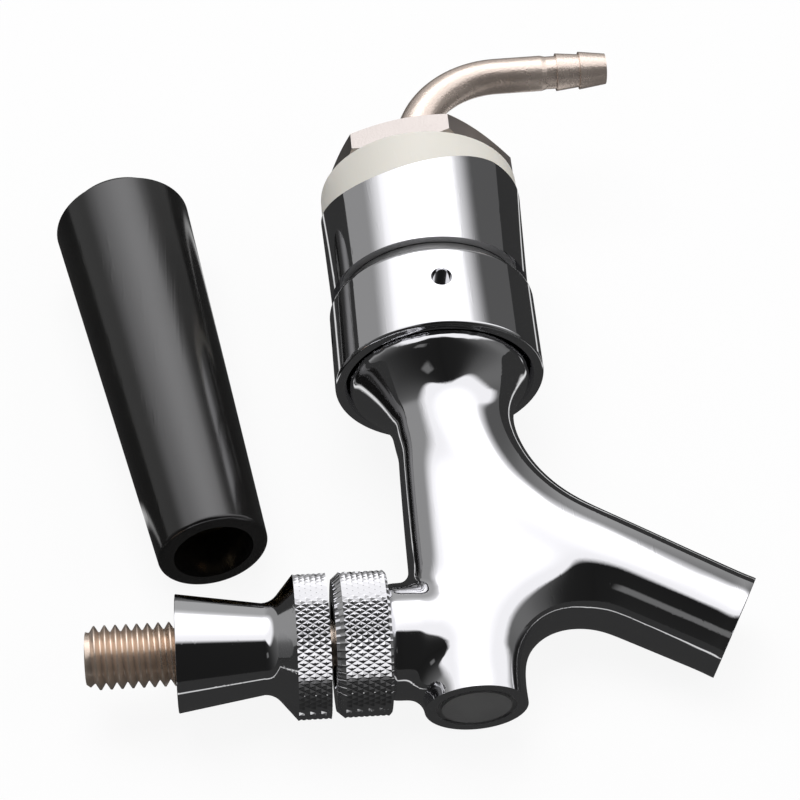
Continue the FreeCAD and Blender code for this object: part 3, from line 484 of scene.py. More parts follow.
def cut_knurl(mesh, low, high, radius, rows):
    """Knurl the band between two heights; the band has rows of faces along the axis."""
    step = math.tau / (2 * KNURL_AROUND)
    pitch = (high - low) / rows
    sunk, tips = [], []
    for vertex in mesh.verts:
        height = vertex.co.z / MM
        on_band = abs(math.hypot(vertex.co.x, vertex.co.y) / MM - radius) < SLACK
        if not on_band or height < low - SLACK or height > high + SLACK:
            continue
        row = round((height - low) / pitch)
        column = round(math.atan2(vertex.co.y, vertex.co.x) / step)
        if (row + column) % 2 == 0:
            sunk.append(vertex)
        elif 0 < row < rows:
            tips.append(vertex)
    share = 1 - KNURL_DEPTH / radius
    for vertex in sunk:
        vertex.co.x *= share
        vertex.co.y *= share
    bmesh.ops.connect_verts(mesh, verts=sunk)
    bmesh.ops.bevel(mesh, geom=tips, offset=KNURL_TIP * MM, segments=1, affect="VERTICES",
                    profile=0.5, material=-1)


def band_rows(mesh, low, high, rows):
    """Divide the outline's edge between two heights into the rows of the knurl."""
    for edge in mesh.edges:
        heights = sorted(vertex.co.z / MM for vertex in edge.verts)
        if abs(heights[0] - low) < SLACK and abs(heights[1] - high) < SLACK:
            bmesh.ops.subdivide_edges(mesh, edges=[edge], cuts=rows - 1)
            return
    raise RuntimeError("no edge of the outline lies between those heights")


print("knurl", KNURL_AROUND, "diamonds round")

# %% [markdown]
# ## The bonnet
# The bonnet screws down on the neck and holds the lever's ball. The outline follows the
# CAD node: a bore where the neck's thread goes, a knurl outside, a chamfer, a cone that the
# lever swings in, and under its lip a pocket for the friction ring. Heights are counted from
# the ball's centre, along the lever, in millimetres.

# %% Bonnet
KNURL_RADIUS = 10.9
BONNET_FOOT = 12.3 - BALL_HEIGHT
BONNET_EDGE = 0.4
BONNET_KNURL_END = 19.25 - BALL_HEIGHT
BONNET_ROWS = 8
BONNET_TOP = 20.45 - BALL_HEIGHT
BONNET_TOP_RADIUS = 9.85
BONNET_MOUTH = 6.61
BONNET_LIP = 5.9
LIP_UNDERSIDE = 18.6 - BALL_HEIGHT
POCKET_RADIUS = 6.45
THREAD_END = 17.4 - BALL_HEIGHT
THREAD_BORE = 8.18


def make_bonnet():
    """Knurled bonnet, spun round the lever's axis."""
    mesh = bmesh.new()
    chain = draw_outline(mesh, [
        (BONNET_FOOT, THREAD_BORE), (BONNET_FOOT, KNURL_RADIUS - BONNET_EDGE),
        (BONNET_FOOT + BONNET_EDGE, KNURL_RADIUS), (BONNET_KNURL_END, KNURL_RADIUS),
        (BONNET_TOP, BONNET_TOP_RADIUS), (BONNET_TOP, BONNET_MOUTH), (LIP_UNDERSIDE, BONNET_LIP),
        (LIP_UNDERSIDE, POCKET_RADIUS), (THREAD_END, POCKET_RADIUS), (THREAD_END, THREAD_BORE)])
    mesh.edges.new((chain[-1], chain[0]))
    band_rows(mesh, BONNET_FOOT + BONNET_EDGE, BONNET_KNURL_END, BONNET_ROWS)
    spin_outline(mesh, 2 * KNURL_AROUND)
    cut_knurl(mesh, BONNET_FOOT + BONNET_EDGE, BONNET_KNURL_END, KNURL_RADIUS, BONNET_ROWS)
    finish_piece(mesh, "bonnet_knurled", lever_axes, chrome, "faucet", ["bonnet"])


make_bonnet()

# %% [markdown]
# ## The lever's collar
# The collar locks on the stud above the bonnet. Its underside is hollowed to a sphere round
# the ball, so that it passes over the bonnet when the lever swings. A cone leads from the
# knurled rim to a narrow waist, and the mouth flares again towards the handle.

# %% Collar
COLLAR_RIM = 21.3 - BALL_HEIGHT
COLLAR_KNURL_END = 26.2 - BALL_HEIGHT
COLLAR_ROWS = 6
COLLAR_WAIST = 31.0 - BALL_HEIGHT
COLLAR_MOUTH = 43.8 - BALL_HEIGHT
CONE_SLOPE = 50
WAIST_RADIUS = 6.83
WAIST_BEND = 2.97
WAIST_STEP = 10
MOUTH_RADIUS = 8.85
MOUTH_WALL = 0.9
MOUTH_RECESS = 0.8
MOUTH_ROUND = 0.15
STUD_BORE = 4.8425
DOME_GAP = 0.35
DOME_STEPS = 8
DOME_RADIUS = math.hypot(BONNET_TOP, BONNET_TOP_RADIUS) + DOME_GAP


def dome_arc(first, last):
    """Points of the hollow underside, between two radii."""
    radii = [first + (last - first) * k / DOME_STEPS for k in range(1, DOME_STEPS)]
    return [(math.sqrt(DOME_RADIUS ** 2 - radius ** 2), radius) for radius in radii]


def make_collar():
    """Knurled, waisted and flared collar, spun round the lever's axis."""
    mesh = bmesh.new()
    waist_arc = []
    for turn in range(CONE_SLOPE, -1, -WAIST_STEP):
        angle = math.radians(turn)
        waist_arc.append((COLLAR_WAIST - WAIST_BEND * math.sin(angle),
                          WAIST_RADIUS + WAIST_BEND * (1 - math.cos(angle))))
    dome_rim = math.sqrt(DOME_RADIUS ** 2 - COLLAR_RIM ** 2)
    chain = draw_outline(mesh, [
        (COLLAR_RIM, KNURL_RADIUS), (COLLAR_KNURL_END, KNURL_RADIUS), *waist_arc,
        (COLLAR_MOUTH, MOUTH_RADIUS), (COLLAR_MOUTH, MOUTH_RADIUS - MOUTH_WALL),
        (COLLAR_MOUTH - MOUTH_RECESS, MOUTH_RADIUS - MOUTH_WALL),
        (COLLAR_MOUTH - MOUTH_RECESS, STUD_BORE),
        (math.sqrt(DOME_RADIUS ** 2 - STUD_BORE ** 2), STUD_BORE),
        *dome_arc(STUD_BORE, dome_rim), (COLLAR_RIM, dome_rim)])
    mesh.edges.new((chain[-1], chain[0]))
    mouth = 2 + len(waist_arc)
    soften_corners(mesh, chain[mouth:mouth + 2], MOUTH_ROUND)
    band_rows(mesh, COLLAR_RIM, COLLAR_KNURL_END, COLLAR_ROWS)
    spin_outline(mesh, 2 * KNURL_AROUND)
    cut_knurl(mesh, COLLAR_RIM, COLLAR_KNURL_END, KNURL_RADIUS, COLLAR_ROWS)
    finish_piece(mesh, "collar_knurled", lever_axes, chrome, "collar", ["lever_collar"])


make_collar()

# %% [markdown]
# ## Threads
# The stud's thread is 3/8 inch with 16 turns to the inch. It could be a bump, but its teeth
# show in the outline, so it is real: one tooth of about 60 degrees is drawn and spun with a
# rise of one pitch a turn, and the ends of the helix are cut square.

# %% Tool for threads
PITCH = 25.4 / 16
THREAD_STEPS = 64
TOOTH_DEPTH = 0.61 * PITCH
CREST = PITCH / 8
THREAD_SEAM = 1e-6


def spin_thread(mesh, crest_radius, root_radius, start, end):
    """Threaded surface along local Z between two heights, alone in its mesh so far."""
    turns = math.ceil((end - start) / PITCH) + 2
    low = start - PITCH
    flank = (PITCH - 2 * CREST) / 2
    heights = [(0, root_radius), (flank, crest_radius), (flank + CREST, crest_radius),
               (2 * flank + CREST, root_radius), (PITCH, root_radius)]
    draw_outline(mesh, [(low + rise, radius) for rise, radius in heights])
    bmesh.ops.spin(mesh, geom=mesh.verts[:] + mesh.edges[:], axis=(0, 0, 1), cent=(0, 0, 0),
                   angle=math.tau * turns, steps=THREAD_STEPS * turns,
                   dvec=(0, 0, PITCH * MM / THREAD_STEPS))
    bmesh.ops.remove_doubles(mesh, verts=mesh.verts, dist=THREAD_SEAM)
    for height, side in ((start, -1), (end, 1)):
        bmesh.ops.bisect_plane(mesh, geom=mesh.verts[:] + mesh.edges[:] + mesh.faces[:],
                               plane_co=(0, 0, height * MM), plane_no=(0, 0, side),
                               clear_outer=True)


print("pitch", PITCH, "mm")

# %% [markdown]
# ## The threaded lever
# Finger, ball, neck and stud are one piece. The thread gets its chamfer at the tip and is
# closed at both ends. The rest is one outline, spun, whose shoulder reaches a little way
# into the thread's first turn, so that no gap shows between the two.

# %% The lever's stud
STUD_RADIUS = 4.7625
STUD_END = 57.2 - BALL_HEIGHT
STUD_START = 26.4 - BALL_HEIGHT
STUD_CHAMFER = 1.2
STUD_TIP = 3.9


def chamfer_tip(mesh):
    """Turn the stud's end down to a cone."""
    slope = (STUD_RADIUS - STUD_TIP) / STUD_CHAMFER
    for vertex in mesh.verts:
        most = STUD_RADIUS - (vertex.co.z / MM - (STUD_END - STUD_CHAMFER)) * slope
        radius = math.hypot(vertex.co.x, vertex.co.y) / MM
        if radius > most:
            vertex.co.x *= most / radius
            vertex.co.y *= most / radius


def close_end(mesh, height):
    """Fill the open border of the thread at a height."""
    border = [edge for edge in mesh.edges if edge.is_boundary
              and all(abs(vertex.co.z / MM - height) < SLACK for vertex in edge.verts)]
    bmesh.ops.triangle_fill(mesh, edges=border, use_beauty=True)


def make_stud():
    """Closed, threaded stud with a chamfered tip."""
    mesh = bmesh.new()
    spin_thread(mesh, STUD_RADIUS, STUD_RADIUS - TOOTH_DEPTH, STUD_START, STUD_END)
    chamfer_tip(mesh)
    close_end(mesh, STUD_START)
    close_end(mesh, STUD_END)
    bmesh.ops.recalc_face_normals(mesh, faces=mesh.faces)
    return mesh


print("stud", round(STUD_END - STUD_START, 1), "mm long")

# %% The lever
BALL_RADIUS = 6.35
BALL_TURNS = range(20, 148, 8)
FINGER_RADIUS = 1.8
FINGER_BALL = 2.3
FINGER_TURNS = range(0, 101, 25)
NECK_RADIUS = 3.25
SHOULDER = 23.4 - BALL_HEIGHT
SHOULDER_RISE = 1.0
SHOULDER_RADIUS = 3.9
SHOULDER_OVERLAP = 0.2
LEVER_STEPS = 96


def ball_arc(centre, radius, turns):
    """Points of a circle on the axis, from its foot up, at turns in degrees."""
    return [(centre - radius * math.cos(math.radians(turn)), radius * math.sin(math.radians(turn)))
            for turn in turns]


def make_lever():
    """Finger, ball and neck, joined with the threaded stud."""
    blank = bmesh.new()
    stud_foot = STUD_START + SHOULDER_OVERLAP
    draw_outline(blank, [
        *ball_arc(-BALL_HEIGHT, FINGER_BALL, FINGER_TURNS),
        (-BALL_HEIGHT + math.sqrt(FINGER_BALL ** 2 - FINGER_RADIUS ** 2), FINGER_RADIUS),
        (-math.sqrt(BALL_RADIUS ** 2 - FINGER_RADIUS ** 2), FINGER_RADIUS),
        *ball_arc(0, BALL_RADIUS, BALL_TURNS),
        (math.sqrt(BALL_RADIUS ** 2 - NECK_RADIUS ** 2), NECK_RADIUS), (SHOULDER, NECK_RADIUS),
        (SHOULDER + SHOULDER_RISE, SHOULDER_RADIUS), (stud_foot, SHOULDER_RADIUS), (stud_foot, 0)])
    spin_outline(blank, LEVER_STEPS)
    part = mesh_data(blank, "blank")
    mesh = make_stud()
    mesh.from_mesh(part)
    bpy.data.meshes.remove(part)
    finish_piece(mesh, "lever_threaded", lever_axes, nickel, "lever", ["lever"])


make_lever()

# %% [markdown]
# ## The forged body
# The real body is forged, ground by hand and plated, so its barrel, spout and necks run into
# each other without a seam, and chrome shows the slightest kink. The CAD solid has the sizes,
# with rolled fillets. A copy of it is laid on an even grid of small quads, its web and its
# flare are made fuller, and its skin is relaxed. All of this is done in the faucet's own
# axes. First come the grid and the relaxing, each a modifier whose result becomes the mesh.

# %% Grid and relaxing
FORGING_VOXEL = 0.42 * MM
RELAX_FACTOR = 0.5


def smooth_share(value, low, high):
    """Share from 0 to 1 that rises smoothly between two values."""
    share = min(1.0, max(0.0, (value - low) / (high - low)))
    return share * share * (3 - 2 * share)


def applied(thing):
    """Mesh of an object with its modifiers applied; the object and its first mesh go."""
    bpy.context.view_layer.update()
    result = bpy.data.meshes.new_from_object(thing.evaluated_get(
        bpy.context.evaluated_depsgraph_get()))
    before = thing.data
    bpy.data.objects.remove(thing)
    bpy.data.meshes.remove(before)
    return result


def gridded(data):
    """Closed mesh on an even grid of quads."""
    thing = put_in_scene("gridding", data)
    grid = thing.modifiers.new("grid", "REMESH")
    grid.mode = "VOXEL"
    grid.voxel_size = FORGING_VOXEL
    return applied(thing)


def relaxed(data, steps, weigh=None):
    """Mesh after a Smooth modifier, with a weight for every vertex if asked."""
    thing = put_in_scene("relaxing", data)
    smooth = thing.modifiers.new("smooth", "SMOOTH")
    smooth.factor = RELAX_FACTOR
    smooth.iterations = steps
    if weigh:
        weights = thing.vertex_groups.new(name="share")
        smooth.vertex_group = weights.name
        for vertex in data.vertices:
            weight = weigh(vertex)
            if weight > 0:
                weights.add([vertex.index], weight, "REPLACE")
    return applied(thing)


print("grid of", round(FORGING_VOXEL / MM, 2), "mm")

# %% [markdown]
# ## The web
# Between barrel and spout the forging is a web that stands nearly as high as both. It is a
# plate with two flat sides that round off towards the crotch, the hollow in front of it. The
# grid's points there are lifted to that plate, with a soft blend where they reach it, and
# the lift fades out at the middle lines of barrel and spout.

# %% The web
WEB_TOP = 7.8
WEB_BLEND = 1.2
WEB_FADE = 4.0
WEB_FRONT = (60, 80)
WEB_REAR = (160, 180)
BARREL_RADIUS = 7.95
CROTCH_RADIUS = 9.0
CROTCH_PLACE = -7.63

crotch = Vector((BARREL_RADIUS + CROTCH_RADIUS, CROTCH_PLACE))
bend_centre = Vector((SPOUT_OFFSET + SPOUT_BEND, SPOUT_START))
spout_normal = Vector((-math.cos(SPOUT_TURN), -math.sin(SPOUT_TURN)))


def inside_bend(place):
    """How far a place lies on the barrel's side of the spout's middle line."""
    away = place - bend_centre
    turn = math.atan2(-away.y, -away.x)
    return (away.length if turn < SPOUT_TURN else away.dot(spout_normal)) - SPOUT_BEND


def web_weight(vertex):
    """One between the barrel's and the spout's middle lines, on the two broad sides."""
    place = vertex.co.xy / MM
    if vertex.normal.z * math.copysign(1.0, vertex.co.z) < 0.0:
        return 0.0
    away = place - crotch
    turn = math.degrees(math.atan2(away.y, away.x))
    return (smooth_share(turn, *WEB_FRONT) * smooth_share(-turn, -WEB_REAR[1], -WEB_REAR[0])
            * smooth_share(place.x, 0, WEB_FADE) * smooth_share(inside_bend(place), 0, WEB_FADE))


def fill_web(data):
    """Lift the web's two sides to the plate."""
    shares = [web_weight(vertex) for vertex in data.vertices]
    for vertex, share in zip(data.vertices, shares):
        deep = (vertex.co.xy / MM - crotch).length - CROTCH_RADIUS
        if share == 0 or deep <= 0:
            continue
        height = abs(vertex.co.z / MM)
        round_off = 1 - min(deep / WEB_TOP, 1)
        plate = WEB_TOP * math.sqrt(1 - round_off * round_off)
        overlap = max(WEB_BLEND - abs(height - plate), 0)
        lifted = max(height, plate) + overlap * overlap / (4 * WEB_BLEND)
        vertex.co.z += math.copysign(share * (lifted - height) * MM, vertex.co.z)


print("crotch at", [round(v, 2) for v in crotch], "mm")

# %% [markdown]
# ## The flare and the skin
# Behind the spout the barrel flares until it nearly fills the coupling nut's mouth, so the
# copy grows outwards there. A weight for every point then says how much the skin may relax:
# fully on barrel and spout, little from the flange on, and not at all on the lever's neck
# and at the two ends, whose sizes other pieces rely on.

# %% The flare and the skin
FLANGE_START = 37.0
FLANGE_FULL = 45.2
FLANGE_BACK = 46.85
FLANGE_GROWTH = 1.2
RECESS_RADIUS = 8.6
FLANGE_SHARE = 0.18
FLANGE_FADE = (40.0, 43.5)
BOSS_FADE = (-11.5, -9.0)
NECK_FADE = (-8.0, -5.5)
TIP_FADE = (0.2, 2.5)


def widen_flange(data):
    """Open the flare until its rim nearly fills the coupling nut's mouth."""
    for vertex in data.vertices:
        x, y, z = vertex.co / MM
        radius = math.hypot(x, z)
        if radius > RECESS_RADIUS and y < FLANGE_BACK:
            grown = 1 + smooth_share(y, FLANGE_START, FLANGE_FULL) * FLANGE_GROWTH / radius
            vertex.co.x *= grown
            vertex.co.z *= grown


def skin_weight(vertex):
    """One on barrel and spout, less from the flange on, none on the neck and the ends."""
    x, y, _ = vertex.co / MM
    from_tip = (spout_end - vertex.co).dot(spout_way) / MM
    before_flange = smooth_share(-y, -FLANGE_FADE[1], -FLANGE_FADE[0])
    return (smooth_share(y, *BOSS_FADE) * max(FLANGE_SHARE, before_flange)
            * smooth_share(x, *NECK_FADE) * smooth_share(from_tip, *TIP_FADE))


print("rim grown by", FLANGE_GROWTH, "mm")

# %% [markdown]
# ## The body put together
# The boss and the spout's end are lengthened before the grid, which would round their rims,
# and cut back square at the end, so they stay crisp. A few free steps even out the grid, and
# the weighted ones draw the skin tight.

# %% Forged body
MERGE_DISTANCE = 1e-5
SPARE_END = 1.5 * MM
BOSS_FACE = -11.5 * MM
SPOUT_SIDE = 30 * MM
EVEN_STEPS = 12
SKIN_STEPS = 130


def lengthen_ends(mesh):
    """Push the boss's face and the spout's end outwards."""
    for vertex in mesh.verts:
        if vertex.co.y < BOSS_FACE + SLACK * MM:
            vertex.co.y -= SPARE_END
        if (vertex.co - spout_end).dot(spout_way) > -SLACK * MM and vertex.co.x > SPOUT_SIDE:
            vertex.co += spout_way * SPARE_END


def cut_square(mesh, place, outward):
    """Cut the mesh at a plane, drop what lies outside and close the cut."""
    cut = bmesh.ops.bisect_plane(mesh, geom=mesh.verts[:] + mesh.edges[:] + mesh.faces[:],
                                 plane_co=place, plane_no=outward, clear_outer=True)
    rim = [item for item in cut["geom_cut"] if isinstance(item, bmesh.types.BMEdge)]
    bmesh.ops.triangle_fill(mesh, edges=rim, use_beauty=True, normal=outward)


def make_forging():
    """The CAD body as a forging with one relaxed skin."""
    mesh = bmesh.new()
    mesh.from_mesh(nodes["faucet_body"].data)
    bmesh.ops.remove_doubles(mesh, verts=mesh.verts, dist=MERGE_DISTANCE)
    bmesh.ops.transform(mesh, matrix=faucet_axes.inverted(), verts=mesh.verts)
    lengthen_ends(mesh)
    data = gridded(mesh_data(mesh, "forging"))
    fill_web(data)
    widen_flange(data)
    data = relaxed(gridded(data), EVEN_STEPS)
    data = relaxed(data, SKIN_STEPS, skin_weight)
    mesh = bmesh.new()
    mesh.from_mesh(data)
    bpy.data.meshes.remove(data)
    cut_square(mesh, (0, BOSS_FACE, 0), (0, -1, 0))
    cut_square(mesh, spout_end, spout_way)
    finish_piece(mesh, "faucet_body_forged", faucet_axes, chrome, "faucet",
                 ["faucet_body"], sharp=35.0)


make_forging()

# %% [markdown]
# ## The studio
# Chrome is as good as what it mirrors. A bare white dome would leave it flat, so a tent that
# only mirrored rays can see carries the tones of a room: a soft light overhead with a hot
# middle, grey walls, a dark side towards the camera and a dim panel at the front left. The
# tent is painted by direction, seen from its middle: an azimuth from the shank's side
# clockwise, and a height over the table, both in degrees.

# %% Tools for painting the tent
DEGREES = 180 / math.pi


def combine(tree, operation, *values):
    """Math node on sockets or numbers."""
    node = add_node(tree, "ShaderNodeMath", operation=operation)
    for socket, value in zip(node.inputs, values):
        if isinstance(value, (int, float)):
            socket.default_value = value
        else:
            link(tree, value, socket)
    return node.outputs["Value"]


def add_ramp(tree, value, low, high, start=0.0, end=1.0):
    """Smooth step of a value between two numbers."""
    ramp = add_node(tree, "ShaderNodeMapRange", interpolation_type="SMOOTHSTEP", From_Min=low,
                    From_Max=high, To_Min=start, To_Max=end)
    link(tree, value, ramp.inputs["Value"])
    return ramp.outputs["Result"]


def add_band(tree, value, fades):
    """One between the two middle numbers of four, none outside the outer two."""
    return combine(tree, "MULTIPLY", add_ramp(tree, value, *fades[:2]),
                   add_ramp(tree, value, *fades[2:], 1, 0))


def add_compass_curve(tree, turn, points, scale):
    """Value over the compass, drawn through points (azimuth in degrees, value)."""
    curve = add_node(tree, "ShaderNodeFloatCurve")
    line = curve.mapping.curves[0]
    for _ in points[1:-1]:
        line.points.new(0.5, 0.5)
    for dot, (azimuth, value) in zip(line.points, points):
        dot.location = (azimuth / 360 + 0.5, value / scale)
        dot.handle_type = "AUTO_CLAMPED"
    curve.mapping.update()
    link(tree, turn, curve.inputs["Value"])
    return combine(tree, "MULTIPLY", curve.outputs["Value"], scale)


# %% [markdown]
# ## The tent's light and walls
# The light's edge is a curve over the compass: how high the light begins in each direction.
# A second curve says over how many degrees it fades there, and a third how bright the wall
# under it is. The edge is highest towards the camera, which keeps the faces of the chrome
# that look at the camera dark.

# %% The tent's light
LIGHT_LEVEL = 1.08
HOT_LEVEL = 1.0
HOT_REACH = 45.0
HOT_PLACE = Vector((0.02, 0.55, 0.83)).normalized()
LIGHT_EDGE = [(-180, 75), (-160, 74), (-145, 69), (-125, 49), (-100, 43), (-75, 36), (-45, 32),
              (0, 38), (28, 34), (45, 40), (55, 38), (64, 14), (72, 10), (82, 24), (100, 39),
              (122, 48), (145, 68), (160, 74), (180, 75)]
HIGHEST_EDGE = 90
EDGE_SOFTNESS = [(-180, 4), (-120, 6), (-75, 10), (60, 10), (100, 8), (140, 5), (180, 4)]
SOFTEST_EDGE = 10


def add_light(tree, away, turn, height):
    """Where the soft light is, from 0 to 1, and how bright it is with its hot middle."""
    over_edge = combine(tree, "SUBTRACT", height,
                        add_compass_curve(tree, turn, LIGHT_EDGE, HIGHEST_EDGE))
    softness = add_compass_curve(tree, turn, EDGE_SOFTNESS, SOFTEST_EDGE)
    light = add_ramp(tree, combine(tree, "DIVIDE", over_edge, softness), -1, 1)
    facing = add_node(tree, "ShaderNodeVectorMath", operation="DOT_PRODUCT")
    facing.inputs[1].default_value = HOT_PLACE
    link(tree, away, facing.inputs[0])
    off = combine(tree, "MULTIPLY", combine(tree, "ARCCOSINE", facing.outputs["Value"]), DEGREES)
    hot = combine(tree, "ADD", LIGHT_LEVEL, add_ramp(tree, off, HOT_REACH, 0, 0, HOT_LEVEL))
    return light, combine(tree, "MULTIPLY", light, hot)


edges = [height for _, height in LIGHT_EDGE]
print("light begins", min(edges), "to", max(edges), "degrees over the table")

# %% The tent's walls
WALL_TONE = [(-180, 0.012), (-150, 0.02), (-120, 0.06), (-95, 0.12), (-76, 0.30), (-30, 0.30),
             (0, 0.42), (20, 0.40), (38, 0.20), (52, 0.10), (75, 0.12), (100, 0.16),
             (125, 0.10), (150, 0.02), (180, 0.012)]
PANEL_TONE = 0.16
PANEL_AZIMUTHS = (-168, -160, -154, -147)
PANEL_HEIGHTS = (28, 33, 40, 45)


def add_walls(tree, azimuth, turn, height):
    """Grey of the walls, with the dim panel."""
    wall = add_compass_curve(tree, turn, WALL_TONE, 1)
    panel = combine(tree, "MULTIPLY", add_band(tree, azimuth, PANEL_AZIMUTHS),
                    add_band(tree, height, PANEL_HEIGHTS))
    tone = combine(tree, "MAXIMUM", wall, combine(tree, "MULTIPLY", panel, PANEL_TONE))
    grey = add_node(tree, "ShaderNodeCombineColor")
    for channel in ("Red", "Green", "Blue"):
        link(tree, tone, grey.inputs[channel])
    return grey.outputs["Color"]


print("panel", PANEL_AZIMUTHS[-1] - PANEL_AZIMUTHS[0], "degrees wide")

# %% [markdown]
# ## The tent
# The tent is a large ball whose inside glows. A picture of a room wrapped round the scene
# could do the same, but drawn tones can be tuned one by one until every highlight sits where
# the real one has it. Only mirrored rays see the ball, so it casts no shadow.

# %% The tent's glow
LIGHT_COLOUR = (0.985, 0.98, 1.0, 1)


def make_tent_material():
    """Light over its edge and walls under it, as one glow."""
    material, tree = new_bare_material("tent")
    place = add_node(tree, "ShaderNodeTexCoord")
    away = add_node(tree, "ShaderNodeVectorMath", operation="NORMALIZE")
    axes = add_node(tree, "ShaderNodeSeparateXYZ")
    link(tree, place.outputs["Object"], away.inputs[0])
    link(tree, away.outputs["Vector"], axes.inputs["Vector"])
    x, y, z = (axes.outputs[key] for key in "XYZ")
    azimuth = combine(tree, "MULTIPLY", combine(tree, "ARCTAN2", x, y), DEGREES)
    height = combine(tree, "MULTIPLY", combine(tree, "ARCSINE", z), DEGREES)
    turn = combine(tree, "MULTIPLY_ADD", azimuth, 1 / 360, 0.5)
    light, lit = add_light(tree, away.outputs["Vector"], turn, height)
    whole = add_node(tree, "ShaderNodeMix", data_type="RGBA", clamp_factor=False)
    whole.inputs["B"].default_value = LIGHT_COLOUR
    link(tree, light, whole.inputs["Factor"])
    link(tree, add_walls(tree, azimuth, turn, height), whole.inputs["A"])
    glow = add_node(tree, "ShaderNodeEmission")
    out = add_node(tree, "ShaderNodeOutputMaterial")
    link(tree, whole.outputs["Result"], glow.inputs["Color"])
    link(tree, combine(tree, "MAXIMUM", lit, 1.0), glow.inputs["Strength"])
    link(tree, glow.outputs["Emission"], out.inputs["Surface"])
    return material


# %% The tent
TENT_RADIUS = 1.5
TENT_SEGMENTS = 64


def make_tent():
    """Ball round the whole studio, seen in reflections only."""
    mesh = bmesh.new()
    bmesh.ops.create_uvsphere(mesh, u_segments=TENT_SEGMENTS, v_segments=TENT_SEGMENTS // 2,
                              radius=TENT_RADIUS)
    data = mesh_data(mesh, "tent")
    data.shade_smooth()
    data.materials.append(make_tent_material())
    tent = put_in_scene("tent", data)
    tent.visible_camera = False
    tent.visible_diffuse = False
    tent.visible_shadow = False
    tent.visible_transmission = False


make_tent()
print("tent", TENT_RADIUS, "m")

# %% [markdown]
# ## The floor
# The floor is pale and takes the object's shadow. The camera sees it nearly white. Mirrored
# rays see a painted reflection instead: a dark table that glows faintly, with a thin bright
# painted line that follows the object some way off, because that line paints a highlight on
# the lower flank of every round piece.

# %% The painted reflection on the floor
# painted reflection: glow of the dark table and of the bright line, seen by mirrored rays only
PAINTED_TABLE_REFLECTION = 0.035
PAINTED_LINE_REFLECTION = 0.9
PAINTED_LINE_DISTANCE = 36 * MM
PAINTED_LINE_WIDTH = 3.5 * MM
LEVER_REACH = 57 * MM
SHANK_REACH = 92 * MM
SPOUT_ROOT = 30 * MM


def add_distance(tree, place, start, end):
    """Distance on the table to a straight stretch between two places."""
    start, end = (Vector((spot.x, spot.y, 0)) for spot in (start, end))
    way = end - start
    offset = add_node(tree, "ShaderNodeVectorMath", operation="SUBTRACT")
    offset.inputs[1].default_value = start
    link(tree, place, offset.inputs[0])
    along = add_node(tree, "ShaderNodeVectorMath", operation="DOT_PRODUCT")
    along.inputs[1].default_value = way / way.length_squared
    link(tree, offset.outputs["Vector"], along.inputs[0])
    share = add_node(tree, "ShaderNodeClamp")
    link(tree, along.outputs["Value"], share.inputs["Value"])
    foot = add_node(tree, "ShaderNodeVectorMath", operation="SCALE")
    foot.inputs[0].default_value = way
    link(tree, share.outputs["Result"], foot.inputs["Scale"])
    gap = add_node(tree, "ShaderNodeVectorMath", operation="DISTANCE")
    link(tree, offset.outputs["Vector"], gap.inputs[0])
    link(tree, foot.outputs["Vector"], gap.inputs[1])
    return gap.outputs["Value"]


def add_painted_reflection(tree):
    """Painted reflection for mirrored rays: a dark table glow, with a bright line round lever, shank and spout."""
    place = add_node(tree, "ShaderNodeTexCoord").outputs["Object"]
    gaps = [add_distance(tree, place, crossing, crossing + lever_out * LEVER_REACH),
            add_distance(tree, place, crossing, crossing + shank_out * SHANK_REACH),
            add_distance(tree, place, crossing + shank_out * SPOUT_ROOT, spout_tip)]
    nearest = combine(tree, "MINIMUM", combine(tree, "MINIMUM", gaps[0], gaps[1]), gaps[2])
    # painted reflection: the line glows on the table so that the chrome shows a painted highlight on its lower
    # flanks
    off_painted_line = combine(tree, "ABSOLUTE", combine(tree, "SUBTRACT", nearest, PAINTED_LINE_DISTANCE))
    return add_ramp(tree, off_painted_line, PAINTED_LINE_WIDTH, 0, PAINTED_TABLE_REFLECTION, PAINTED_LINE_REFLECTION)


print("line", round(PAINTED_LINE_DISTANCE / MM), "mm off the middle lines")

# %% The floor
FLOOR_COLOUR = (0.85, 0.85, 0.85, 1)
FLOOR_WHITE = 0.9
FLOOR_SIZE = 1.4
FLOOR_DROP = 0.05 * MM
WHITE = (1, 1, 1, 1)


def make_floor_material():
    """Pale floor for the camera, and a painted reflection of a dark table with a bright line for mirrored rays."""
    material, tree = new_bare_material("floor")
    pale = add_node(tree, "ShaderNodeBsdfDiffuse", Color=FLOOR_COLOUR)
    white = add_node(tree, "ShaderNodeEmission", Color=WHITE, Strength=1.0)
    seen = add_node(tree, "ShaderNodeMixShader", Fac=FLOOR_WHITE)
    # painted reflection: mirrored rays see this glow, a dark table with a bright line, in place of the lit floor
    table = add_node(tree, "ShaderNodeEmission", Color=WHITE)
    link(tree, add_painted_reflection(tree), table.inputs["Strength"])
    path = add_node(tree, "ShaderNodeLightPath")
    mirrored = add_node(tree, "ShaderNodeMixShader")
    out = add_node(tree, "ShaderNodeOutputMaterial")
    link(tree, pale.outputs[0], seen.inputs[1])
    link(tree, white.outputs[0], seen.inputs[2])
    link(tree, path.outputs["Is Glossy Ray"], mirrored.inputs[0])
    link(tree, seen.outputs[0], mirrored.inputs[1])
    link(tree, table.outputs[0], mirrored.inputs[2])
    link(tree, mirrored.outputs[0], out.inputs["Surface"])
    return material


def make_floor():
    """Flat square just under the object."""
    mesh = bmesh.new()
    bmesh.ops.create_grid(mesh, x_segments=1, y_segments=1, size=FLOOR_SIZE)
    data = mesh_data(mesh, "floor")
    data.materials.append(make_floor_material())
    floor = put_in_scene("floor", data)
    floor.location.z = -FLOOR_DROP


make_floor()
print("floor", 2 * FLOOR_SIZE, "m wide")

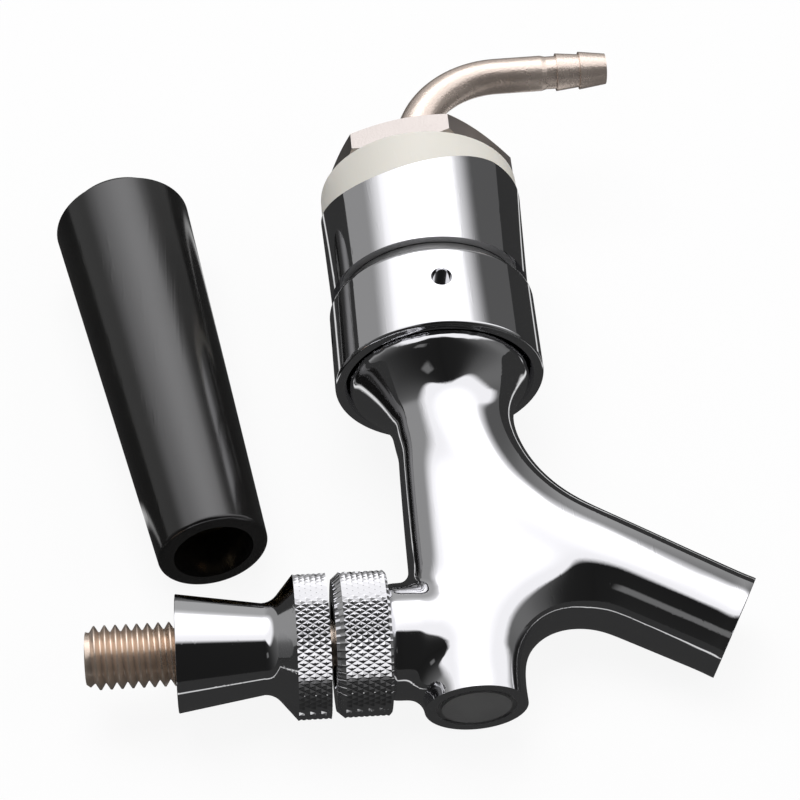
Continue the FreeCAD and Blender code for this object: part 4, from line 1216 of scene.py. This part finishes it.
# %% [markdown]
# ## The lamps
# The tent lights nothing but mirrors, so two soft lamps light the floor, the nylon and the
# plastic: a broad one overhead and a weaker one from the right. Mirrored rays don't see
# them, because their squares would show in the chrome.

# %% The lamps
def add_lamp(name, place, size, power, colour):
    """Square lamp that points at the object."""
    lamp = put_in_scene(name, bpy.data.lights.new(name, "AREA"))
    lamp.location = place
    lamp.rotation_mode = "QUATERNION"
    lamp.rotation_quaternion = (-Vector(place)).to_track_quat("-Z", "Y")
    lamp.data.shape = "RECTANGLE"
    lamp.data.size = size
    lamp.data.size_y = size
    lamp.data.energy = power
    lamp.data.color = colour
    lamp.visible_glossy = False
    print(name, power, "W")


add_lamp("overhead", place=(-0.1, 0.25, 0.9), size=0.7, power=6, colour=(1.0, 0.99, 1.0))
add_lamp("side", place=(0.8, -0.3, 0.5), size=0.5, power=2, colour=(1.0, 0.98, 0.96))

# %% [markdown]
# ## The world
# Past the floor's edge the camera sees plain white. Mirrored rays would see it too if the
# tent didn't stand before it. For other rays the world is a dim grey, so that it fills
# shadows without washing the object out.

# %% The world
FILL_COLOUR = (0.4, 0.4, 0.41, 1)


def make_world():
    """White for the rays that see it, dim for the light that it gives."""
    world = bpy.data.worlds.new("studio")
    world.use_nodes = True
    tree = world.node_tree
    tree.nodes.clear()
    dim = add_node(tree, "ShaderNodeBackground", Color=FILL_COLOUR, Strength=1.0)
    white = add_node(tree, "ShaderNodeBackground", Color=WHITE, Strength=1.0)
    path = add_node(tree, "ShaderNodeLightPath")
    mix = add_node(tree, "ShaderNodeMixShader")
    out = add_node(tree, "ShaderNodeOutputWorld")
    seen = combine(tree, "MAXIMUM", path.outputs["Is Camera Ray"],
                   combine(tree, "MAXIMUM", path.outputs["Is Glossy Ray"],
                           path.outputs["Is Transmission Ray"]))
    link(tree, seen, mix.inputs[0])
    link(tree, dim.outputs[0], mix.inputs[1])
    link(tree, white.outputs[0], mix.inputs[2])
    link(tree, mix.outputs[0], out.inputs["Surface"])
    return world


bpy.context.scene.world = make_world()
print("world", bpy.context.scene.world.name)
